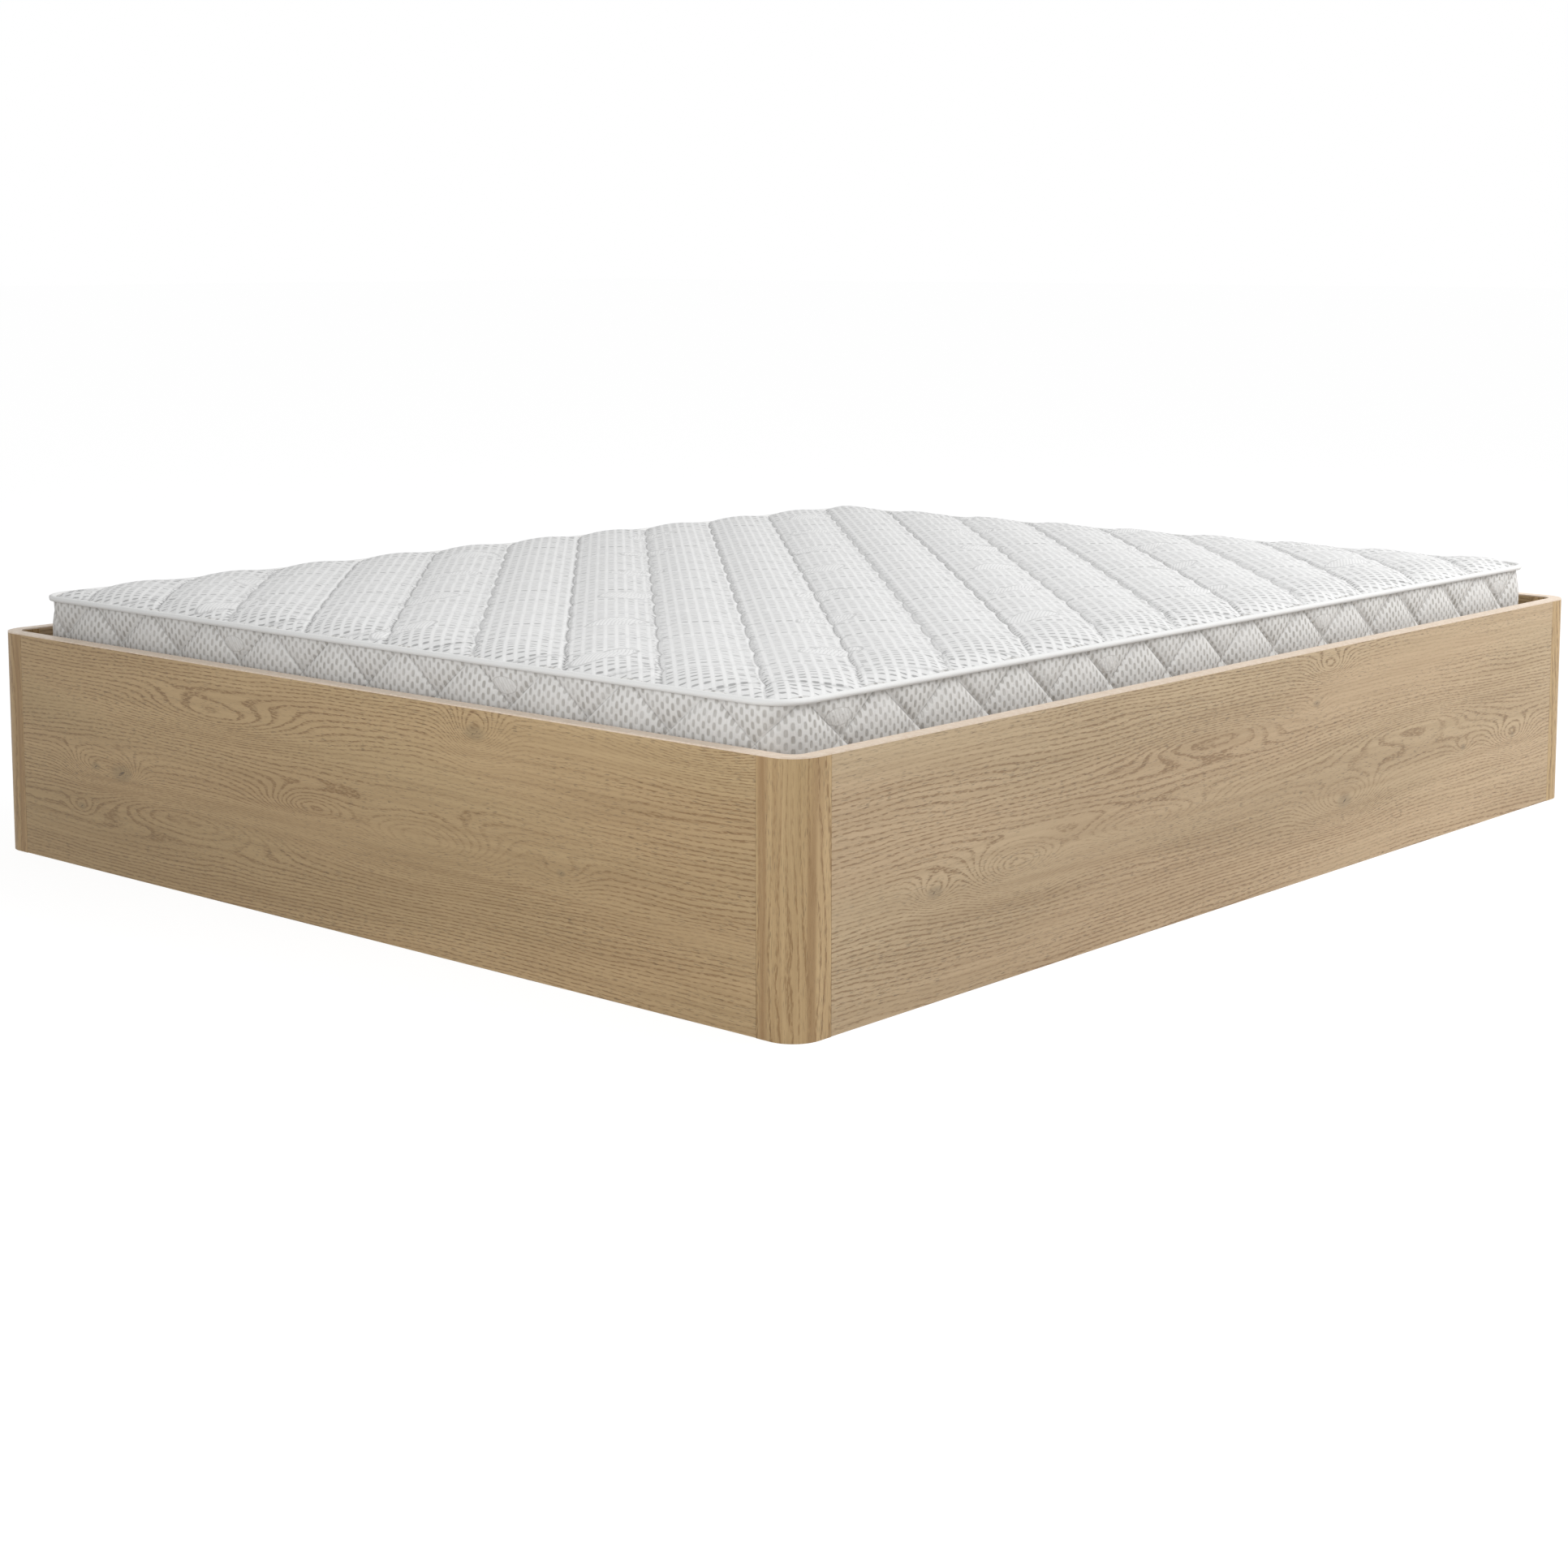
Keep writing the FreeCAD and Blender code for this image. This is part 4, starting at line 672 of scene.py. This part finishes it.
def mattressBorder():
    steps, crowding, low = border["puffSteps"], border["crowding"], mattress["base"]
    high = mattress["top"] - border["rimGap"]
    rowHeight, columnWidth = border["period"] / steps, girth / border["cells"] / steps
    below = int((border["seamHeight"] - low) / rowHeight)
    above = int((mattress["top"] - border["seamHeight"]) / rowHeight)
    levels = [border["seamHeight"] + rowHeight * count for count in range(-below, above + 1)]
    levels = [low] + levels + [high]
    piece = flatGrid("quiltedBorder", border["cells"] * steps, len(levels) - 1)
    editAll(piece, (bpy.ops.mesh.poke, {}))
    flat = readPoints(piece)
    turn = (flat[:, 0] + 0.5) * border["cells"] * steps
    level = (flat[:, 1] + 0.5) * (len(levels) - 1)
    up = np.interp(level, np.arange(len(levels)), levels)
    row = level - 1 - below
    rising, falling = np.rint(turn + row), np.rint(turn - row)
    ends = np.maximum(np.minimum(up - low, high - up), 0)
    free = easeIn(ends, border["fade"]) / 2
    risingMove = (crowded(rising, steps, crowding) - rising) * free
    fallingMove = (crowded(falling, steps, crowding) - falling) * free
    along = (turn + risingMove + fallingMove) * columnWidth + border["along"]
    up = up + (risingMove - fallingMove) * rowHeight
    risingShare, fallingShare = fromSeam(rising, steps, crowding), fromSeam(falling, steps, crowding)
    across = steps * rowHeight * columnWidth / math.hypot(rowHeight, columnWidth) * 2
    keepFlat(piece, "wrap", along, up)
    keepFlat(piece, "seams", risingShare * across, fallingShare * across)
    puff = (np.sin(np.pi * risingShare) * np.sin(np.pi * fallingShare)) ** border["round"]
    full = border["seamInset"] - border["inset"] + border["puff"] * puff
    x, y = roundMattress(along % girth, full * easeIn(ends, border["tuck"]) - border["seamInset"])
    movePoints(piece, x, y, up)
    editAll(piece, weld, faceOut)
    applyModifier(piece, "SOLIDIFY", thickness=border["wall"], offset=-1)
    piece.data.shade_smooth()
    return piece


def pipingRing(name, height):
    piece = flatGrid(name, *mattress["pipingSteps"])
    flat = readPoints(piece)
    along = (flat[:, 0] + 0.5) * girth
    angle = (flat[:, 1] + 0.5) * 2 * math.pi
    radius = mattress["piping"] / 2
    keepFlat(piece, "wrap", along, angle * radius)
    x, y = roundMattress(along, mattress["pipingOut"] + radius * np.cos(angle))
    movePoints(piece, x, y, height + radius * np.sin(angle))
    editAll(piece, weld, faceOut)
    piece.data.shade_smooth()
    return piece


# Where a place lies in its cell of a repeating pattern, from the cell's middle, in halves of a size
def inCell(place, cell, size, shift=0.0):
    turned = vectorCalc("ADD", vectorCalc("DIVIDE", place, cell), (shift, shift, 0))
    wrapped = vectorCalc("WRAP", turned, (0.5, 0.5, 0.5), (-0.5, -0.5, -0.5))
    real = vectorCalc("MULTIPLY", wrapped, cell)
    return vectorCalc("MULTIPLY", vectorCalc("DIVIDE", real, size), (2.0, 2.0, 0.0))


# Rounded dashes: the higher the power, the straighter their sides
def makeDashes():
    tree, given, out = newGroup(
        "knitDashes", {"Place": "Vector", "Cell": "Vector", "Dash": "Vector", "Soft": "Float"},
        {"Mask": "Float"})
    power = 3.0
    sides = splitUp(vectorCalc("ABSOLUTE", inCell(given["Place"], given["Cell"], given["Dash"])))
    total = calc("ADD", calc("POWER", sides[0], power), calc("POWER", sides[1], power))
    distance = calc("POWER", total, 1 / power)
    start, end = calc("SUBTRACT", 1.0, given["Soft"]), calc("ADD", 1.0, given["Soft"])
    feed(step(distance, start, end, 1.0, 0.0), out["Mask"])
    return tree


# Darkens and puckers the cloth at a sewn line, from the distances kept in the seams map. The dark line is
# the thread together with painted shade in the crease. Where the thread is loose, the line is wider and paler
seamLook = {"start": 0.0005, "looseExtra": 0.0015, "looseStrong": 0.95, "looseWeak": 0.98, "reach": 0.011}


def makeThreadAndCreaseShade():
    tree, given, out = newGroup(
        "threadAndCreaseShade",
        {"Place": "Vector", "Strong": "Float", "Weak": "Float", "Width": "Float", "WeakExtra": "Float"},
        {"Shade": "Float", "Pucker": "Float"})
    strongGap, weakGap = splitUp(mapPlace("seams"))[:2]
    pull = noise(given["Place"], (95.0, 95.0, 1.0), 1.0)
    loose = step(pull, 0.35, 0.7)
    width = timesPlus(loose, seamLook["looseExtra"], given["Width"])
    weakWidth = calc("ADD", width, given["WeakExtra"])
    strong = mixedValue(loose, given["Strong"], seamLook["looseStrong"])
    weak = mixedValue(loose, given["Weak"], seamLook["looseWeak"])
    # the thread and the painted crease shade darken the cloth along both sewn lines
    shade = times(step(strongGap, seamLook["start"], width, strong, 1.0),
                  step(weakGap, seamLook["start"], weakWidth, weak, 1.0))
    feed(shade, out["Shade"])
    nearest = calc("MINIMUM", strongGap, weakGap)
    fall = calc("EXPONENT", calc("DIVIDE", nearest, -seamLook["reach"]))
    feed(times(fromHalf(pull), fall), out["Pucker"])
    return tree


# Smooth ovals in the knit, in staggered rows, with a thin edge and fine slanting hatching
ovalLook = {"slant": 0.6, "pitch": 0.006, "hatchGrey": 0.45, "edgeGrey": 0.55}


def makeOvals():
    tree, given, out = newGroup(
        "knitOvals", {"Place": "Vector", "Cell": "Vector", "Size": "Vector"},
        {"Inside": "Float", "Line": "Float"})
    inside, edge = 0.0, 0.0
    for shift in (0.0, 0.5):
        distance = vectorCalc("LENGTH", inCell(given["Place"], given["Cell"], given["Size"], shift))
        inside = calc("MAXIMUM", inside, step(distance, 0.96, 1.0, 1.0, 0.0))
        edge = calc("MAXIMUM", edge, times(step(distance, 0.9, 0.97), step(distance, 1.0, 1.06, 1.0, 0.0)))
    x, y = splitUp(given["Place"])[:2]
    wave = ridges(timesPlus(y, ovalLook["slant"], x), ovalLook["pitch"])
    hatch = times(step(wave, 0.0, 0.55, 1.0, 0.0), inside, ovalLook["hatchGrey"])
    feed(inside, out["Inside"])
    feed(calc("MAXIMUM", hatch, times(edge, ovalLook["edgeGrey"])), out["Line"])
    return tree


dashes, seamShading, ovals = makeDashes(), makeThreadAndCreaseShade(), makeOvals()
knit = {
    "cloth": {"Roughness": 0.85, "Sheen_Weight": 0.1, "Sheen_Roughness": 0.5}, "soft": 0.3, "greyHeight": -0.4,
    "fluffHeight": 0.2, "relief": (0.0015, 0.8),
}
# Dashes in columns. They show most where the cloth turns down: at the edge and beside the cross seams,
# with a plain strip along each cross seam
topKnit = {
    "white": (0.85, 0.85, 0.845, 1), "grey": (0.35, 0.35, 0.35, 1), "cell": (0.01528, 0.01528, 1),
    "dash": (0.0096, 0.0046, 1), "column": (0.0112, 0.08, 1), "columnSoft": 0.12, "columnGrey": 0.13,
    "farContrast": 0.5, "edgeTurn": (0.03, 0.2, 1.0, 0.0), "seamTurn": (0.012, 0.026, 0.7, 0.0),
    "strip": (0.007, 0.011, 0.2, 1.0), "edgeStrip": (0.06, 0.14, 1.0, 0.0),
    "ovalCell": (0.41, 0.46, 1), "ovalSize": (0.055, 0.12, 1), "ovalGrey": 0.85,
    # the seam line is the thread and painted crease shade, with a wider painted shade across the cross seams
    "creaseAndThread": 0.74, "creaseAndThreadWidth": 0.0028, "crossShadeExtra": 0.002, "pucker": 3.0,
}
# Upright dashes in staggered rows, in a greyer cloth with streaks
borderKnit = {
    "white": (0.8, 0.795, 0.78, 1), "grey": (0.47, 0.455, 0.43, 1), "cell": (girth / 389, 0.0166, 1),
    "dash": (0.0055, 0.0098, 1), "streakGrey": 0.22, "ovalPale": -0.9, "ovalCell": (girth / 12, 0.11, 1),
    # the seam line is the thread and painted crease shade
    "ovalSize": (0.05, 0.024, 1), "creaseAndThread": 0.76, "creaseAndThreadWidth": 0.002, "crossShadeExtra": 0.0, "pucker": 1.5,
}


def dashMask(place, look, shape, soft):
    return useGroup(dashes, Place=place, Cell=look["cell"], Dash=shape, Soft=soft)["Mask"]


# The last steps of both knits: greys, seams with their thread and painted crease shade, and relief
def finishKnit(shader, look, place, grey, raised):
    creaseAndThread = useGroup(seamShading, Place=place, Strong=look["creaseAndThread"], Weak=look["creaseAndThread"],
                      Width=look["creaseAndThreadWidth"], WeakExtra=look["crossShadeExtra"])
    # the thread and the painted crease shade darken the cloth at the seams
    colour = darkened(mixed(grey, look["white"], look["grey"]), creaseAndThread["Shade"])
    fluff = times(noise(place, (900.0, 900.0, 1.0), 2.0), knit["fluffHeight"])
    height = timesPlus(creaseAndThread["Pucker"], look["pucker"], timesPlus(raised, knit["greyHeight"], fluff))
    coat(shader, colour, height, knit["relief"])


def makeTopKnit():
    material, shader = newFinish("knitTop", **knit["cloth"])
    look, flat, half = topKnit, mapPlace("flat"), math.sqrt(0.5)
    place = combined(vectorCalc("DOT_PRODUCT", flat, (half, half, 0)),
                     vectorCalc("DOT_PRODUCT", flat, (half, -half, 0)), 0.0)
    x, y = splitUp(vectorCalc("ABSOLUTE", flat))[:2]
    inset = calc("MINIMUM", calc("SUBTRACT", mattress["halfWidth"], x),
                 calc("SUBTRACT", mattress["halfLength"], y))
    crossGap = splitUp(mapPlace("seams"))[1]
    turned = calc("MAXIMUM", step(inset, *look["edgeTurn"]), step(crossGap, *look["seamTurn"]))
    contrast = timesPlus(turned, 1 - look["farContrast"], look["farContrast"])
    strip = calc("MAXIMUM", step(crossGap, *look["strip"]), step(inset, *look["edgeStrip"]))
    cloud = spots(flat, (14.0, 14.0, 1.0), 2.0, 0.2, 0.8, 0.75, 1.0)
    oval = useGroup(ovals, Place=flat, Cell=look["ovalCell"], Size=look["ovalSize"])
    outside = calc("SUBTRACT", 1.0, oval["Inside"])
    mask = times(dashMask(place, look, look["dash"], knit["soft"]), contrast, outside, cloud, strip)
    column = times(dashMask(place, look, look["column"], look["columnSoft"]), outside, look["columnGrey"])
    grey = calc("MAXIMUM", calc("MAXIMUM", mask, column), times(oval["Line"], look["ovalGrey"]))
    finishKnit(shader, look, flat, grey, grey)
    return material


def makeBorderKnit():
    material, shader = newFinish("knitBorder", **knit["cloth"])
    look, wrap = borderKnit, mapPlace("wrap")
    mask = 0.0
    for shift in (0.0, 0.5):
        moved = vectorCalc("ADD", wrap, tuple(size * shift for size in look["cell"]))
        mask = calc("MAXIMUM", mask, dashMask(moved, look, look["dash"], knit["soft"]))
    cloud = spots(wrap, (25.0, 25.0, 1.0), 2.0, 0.25, 0.75, 0.45, 1.0)
    streak = spots(wrap, (260.0, 60.0, 1.0), 2.0, 0.4, 0.75)
    grey = timesPlus(streak, look["streakGrey"], times(mask, cloud))
    oval = useGroup(ovals, Place=wrap, Cell=look["ovalCell"], Size=look["ovalSize"])
    grey = times(grey, timesPlus(oval["Inside"], look["ovalPale"], 1.0))
    finishKnit(shader, look, wrap, calc("MAXIMUM", grey, oval["Line"]), mask)
    return material


pipingLook = {"light": (0.8, 0.8, 0.79, 1), "white": (0.86, 0.86, 0.85, 1), "relief": (0.0003, 0.5)}


def makePiping():
    material, shader = newFinish("pipingCloth", Roughness=0.75, Sheen_Weight=0.2)
    rib = noise(mapPlace("wrap"), (2500.0, 600.0, 1.0), 1.0)
    coat(shader, mixed(rib, pipingLook["white"], pipingLook["light"]), rib, pipingLook["relief"])
    return material


top = quiltedTop()
top.data.materials.append(makeTopKnit())
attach(top, "lift_frame")
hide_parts("mattress_quilted_top")
band = mattressBorder()
band.data.materials.append(makeBorderKnit())
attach(band, "lift_frame")
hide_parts("mattress_border")
pipingCloth = makePiping()
for name, height in (("topPiping", mattress["top"]), ("basePiping", mattress["base"])):
    ring = pipingRing(name, height)
    ring.data.materials.append(pipingCloth)
    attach(ring, "lift_frame")
    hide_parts("mattress_piping")


def roundedSlab(name, halfWidth, halfLength, radius, low, high, bevel, segments):
    piece = flatGrid(name, 64, 80)
    flat = readPoints(piece)
    x, y = roundCorners(flat[:, 0] * 2 * halfWidth, flat[:, 1] * 2 * halfLength, halfWidth, halfLength, radius)
    movePoints(piece, x, y, np.full(len(x), low))
    applyModifier(piece, "SOLIDIFY", thickness=high - low, offset=1)
    applyModifier(piece, "BEVEL", width=bevel, segments=segments, limit_method="ANGLE", angle_limit=1.2)
    piece.data.shade_smooth()
    return piece


foam = {"light": (0.82, 0.77, 0.62, 1), "dark": (0.7, 0.64, 0.5, 1), "pores": 550.0, "relief": (0.0003, 0.6),
        "corner": 0.04, "sideGap": 0.0005, "lowGap": 0.0002, "topGap": 0.004, "bevel": 0.022}


def makeFoam():
    material, shader = newFinish("foam", Roughness=0.95)
    place = vectorCalc("MULTIPLY", objectPlace(), (foam["pores"],) * 3)
    cell = fed(put("ShaderNodeTexVoronoi", feature="DISTANCE_TO_EDGE"), (place, 1.0), "Vector", "Scale")
    wall = step(cell.outputs["Distance"], 0.0, 0.2)
    coat(shader, mixed(wall, foam["dark"], foam["light"]), wall, foam["relief"])
    return material


# Plain cover on the underside: woven, with a grid of raised dots that keep it from sliding
baseCloth = {"dark": (0.62, 0.61, 0.59, 1), "light": (0.72, 0.71, 0.69, 1), "dots": (0.36, 0.355, 0.35, 1),
             "dotShare": 0.7, "cell": (0.012, 0.012, 1), "dot": (0.0035, 0.0035, 1), "dotSoft": 0.15,
             "weaveHeight": 0.3, "relief": (0.0006, 0.7), "inset": 0.0022, "highGap": 0.0002, "bevel": 0.0025}


def makeBaseCloth():
    material, shader = newFinish("baseCloth", Roughness=0.9)
    look, place = baseCloth, objectPlace()
    dots = dashMask(place, look, look["dot"], look["dotSoft"])
    weave = noise(place, (1200.0, 400.0, 400.0), 1.0)
    cloth = mixed(weave, look["dark"], look["light"])
    colour = mixed(times(dots, look["dotShare"]), cloth, look["dots"])
    coat(shader, colour, timesPlus(weave, look["weaveHeight"], dots), look["relief"])
    return material


felt = {"dark": (0.12, 0.12, 0.125, 1), "light": (0.26, 0.26, 0.27, 1), "relief": (0.0006, 0.9),
        "bevel": 0.0009}


def makeFelt():
    material, shader = newFinish("felt", Roughness=0.95, Sheen_Weight=0.3)
    fibre = noise(objectPlace(), (900.0, 900.0, 900.0), 4.0, 0.7)
    coat(shader, mixed(fibre, felt["dark"], felt["light"]), fibre, felt["relief"])
    return material


# Lifting strap: a woven ribbon that rises from the foot rail to the top of the gap, where its end is
# folded back and sewn down with a crossed box
strap = {
    "width": 0.04, "thickness": 0.0022, "fold": 0.045, "boxAt": 0.128, "boxHalf": 0.0125, "thread": 0.0006,
    "railFace": -0.99, "gap": 0.0002, "foldGap": 0.0001, "bend": 0.006, "soft": 0.003, "crest": 0.001,
    "roundOff": 0.0005, "shoulder": 0.0006, "step": 0.006, "columns": 8, "bevel": 0.0004,
    "ribPitch": 0.0022, "twillPitch": 0.0016, "rib": 0.6, "twill": 0.4, "edgeShare": 0.4,
    "dark": (0.012, 0.012, 0.013, 1), "black": (0.05, 0.05, 0.053, 1), "edge": (0.08, 0.08, 0.085, 1),
    "threadGrey": (0.42, 0.42, 0.42, 1), "threadHeight": 0.8, "relief": (0.0004, 0.8),
}


def makeWebbing():
    material, shader = newFinish("webbing", Roughness=0.7, Sheen_Weight=0.15)
    x, y = splitUp(mapPlace("ribbon"))[:2]
    aside = calc("ABSOLUTE", x)
    twill = times(ridges(x, strap["twillPitch"]), strap["twill"])
    weave = timesPlus(ridges(calc("ADD", y, x), strap["ribPitch"]), strap["rib"], twill)
    edge = times(step(aside, 0.0165, 0.0175), strap["edgeShare"])
    cloth = mixed(edge, mixed(weave, strap["dark"], strap["black"]), strap["edge"])
    # the sewn box
    fromMiddle = calc("ABSOLUTE", calc("SUBTRACT", y, strap["boxAt"]))
    square = calc("MAXIMUM", aside, fromMiddle)
    line = calc("COMPARE", square, strap["boxHalf"], strap["thread"])
    cross = times(calc("COMPARE", aside, fromMiddle, strap["thread"]),
                  calc("LESS_THAN", square, strap["boxHalf"]))
    thread = calc("MAXIMUM", line, cross)
    colour = mixed(thread, cloth, strap["threadGrey"])
    coat(shader, colour, timesPlus(thread, strap["threadHeight"], weave), strap["relief"])
    return material


def liftRibbon():
    low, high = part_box("lift_strap")
    names = ("thickness", "bend", "soft", "crest", "roundOff", "shoulder")
    thick, bend, soft, crest, off, shoulder = (strap[name] for name in names)
    face, clear = strap["railFace"] - thick / 2, low.y + thick / 2 + strap["gap"]
    knee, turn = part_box("frame_rail_foot")[1].z, high.z - thick
    inner = clear + thick + strap["foldGap"]
    path = [(face, low.z), (face, knee - bend), (face - soft, knee + crest),
            (clear + soft, knee + bend - crest), (clear, knee + 2 * bend), (clear, turn - crest),
            (clear + off, turn + shoulder), ((clear + inner) / 2, turn + crest),
            (inner - off, turn + shoulder), (inner, turn - crest), (inner, turn - strap["fold"])]
    gaps = [math.hypot(b[0] - a[0], b[1] - a[1]) for a, b in zip(path, path[1:])]
    marks = np.concatenate([[0], np.cumsum(gaps)])
    stops = np.unique(np.concatenate([marks, np.arange(0, marks[-1], strap["step"])]))
    piece = flatGrid("liftRibbon", strap["columns"], len(stops) - 1)
    flat = readPoints(piece)
    along = stops[np.rint((flat[:, 1] + 0.5) * (len(stops) - 1)).astype(int)]
    x = flat[:, 0] * strap["width"]
    keepFlat(piece, "ribbon", x, along)
    y, z = (np.interp(along, marks, [spot[side] for spot in path]) for side in (0, 1))
    movePoints(piece, x, y, z)
    applyModifier(piece, "SOLIDIFY", thickness=thick, offset=0, use_even_offset=True)
    applyModifier(piece, "BEVEL", width=strap["bevel"], segments=2, limit_method="ANGLE", angle_limit=1.2)
    bpy.ops.object.shade_smooth_by_angle(angle=0.9)
    return piece, float(marks[-1])


coreLow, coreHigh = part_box("mattress_core")
core = roundedSlab("foamCore", coreHigh.x - foam["sideGap"], coreHigh.y - foam["sideGap"], foam["corner"],
                   coreLow.z + foam["lowGap"], coreHigh.z - foam["topGap"], foam["bevel"], 5)
core.data.materials.append(makeFoam())
inset = baseCloth["inset"]
under = roundedSlab("baseCover", mattress["halfWidth"] - inset, mattress["halfLength"] - inset,
                    mattress["corner"] - inset, mattress["underside"],
                    mattress["base"] - baseCloth["highGap"], baseCloth["bevel"], 3)
under.data.materials.append(makeBaseCloth())
for piece, node, slot in (
        (core, "mattress_core", "mattress_foam"), (under, "mattress_base_cover", "mattress_base")):
    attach(piece, "lift_frame")
    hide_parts(node)
ribbon, ribbonLength = liftRibbon()
ribbon.data.materials.append(makeWebbing())
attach(ribbon, "lift_frame")
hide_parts("lift_strap")
print("strap length", round(ribbonLength, 4))

# Felt pads: the flat pads again, with soft edges
pads = cad["ledge_pads"].copy()
pads.data = cad["ledge_pads"].data.copy()
pads.name = "feltPads"
pads.animation_data_clear()
for key in list(pads.keys()):
    del pads[key]
bpy.context.scene.collection.objects.link(pads)
editAll(pads, weld, (bpy.ops.mesh.tris_convert_to_quads, {}))
applyModifier(pads, "BEVEL", width=felt["bevel"], segments=2, limit_method="ANGLE", angle_limit=1.0)
pads.data.shade_smooth()
pads.data.materials.clear()
pads.data.materials.append(makeFelt())
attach(pads, "bed_box")
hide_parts("ledge_pads")
print("soft pieces finished")

# Camera, floor and light
camera = {"place": (3.005, -3.4948, 0.9718), "tilt": 83.076, "turn": 41.431, "lens": 62.901, "shift": -0.1294,
          "far": 200}
bpy.ops.object.camera_add(
    location=camera["place"], rotation=(math.radians(camera["tilt"]), 0, math.radians(camera["turn"])))
view = bpy.context.object
view.data.lens, view.data.shift_y, view.data.clip_end = camera["lens"], camera["shift"], camera["far"]
bpy.context.scene.camera = view

studio = {"floorSize": 120, "floorGrey": (0.62, 0.62, 0.62, 1), "glow": 1.34, "glowShare": 0.65, "sky": 0.56}
lamps = [
    {"place": (3.2, 2.6, 3.4), "size": 3.0, "power": 162.0, "aim": (0, 0, 0.3)},
    {"place": (1.0, -2.6, 1.0), "size": 1.2, "power": 12.0, "aim": (0.6, -1.0, 0.2)},
]


# Rays that are seen: straight from the camera, or mirrored or passed on
def seenRays():
    rays = put("ShaderNodeLightPath").outputs
    carried = calc("MAXIMUM", rays["Is Glossy Ray"], rays["Is Transmission Ray"])
    return calc("MAXIMUM", rays["Is Camera Ray"], carried)


def makeStage():
    bpy.ops.object.select_all(action="DESELECT")
    bpy.ops.mesh.primitive_plane_add(size=studio["floorSize"], location=(0, 0, 0))
    floor = bpy.context.object
    floor.name = "floor"
    material = bpy.data.materials.new("floorWhite")
    material.use_nodes = True
    bench["tree"] = material.node_tree
    bench["tree"].nodes.clear()
    plain = fed(put("ShaderNodeBsdfDiffuse"), (studio["floorGrey"],), "Color")
    glow = fed(put("ShaderNodeEmission"), (studio["glow"],), "Strength")
    share = times(seenRays(), studio["glowShare"])
    both = fed(put("ShaderNodeMixShader"), (share, plain.outputs[0], glow.outputs[0]))
    fed(put("ShaderNodeOutputMaterial"), (both.outputs[0],))
    floor.data.materials.append(material)


def makeSky():
    world = bpy.data.worlds.new("studio")
    bpy.context.scene.world = world
    world.use_nodes = True
    bench["tree"] = world.node_tree
    light = step(seenRays(), 0.0, 1.0, studio["sky"], 1.0)
    fed(world.node_tree.nodes["Background"], ((1, 1, 1, 1), light), "Color", "Strength")


def makeLamp(place, size, power, aim):
    bpy.ops.object.light_add(type="AREA", location=place)
    lamp = bpy.context.object
    lamp.data.energy = power
    lamp.data.size = size
    lamp.visible_camera = False
    forward = [target - start for target, start in zip(aim, place)]
    reach = math.hypot(forward[0], forward[1])
    lamp.rotation_euler = (math.atan2(reach, -forward[2]), 0, math.atan2(forward[1], forward[0]) - math.pi / 2)


makeStage()
makeSky()
for lamp in lamps:
    makeLamp(**lamp)
bpy.context.scene.view_settings.view_transform = "Standard"
print("stage ready")
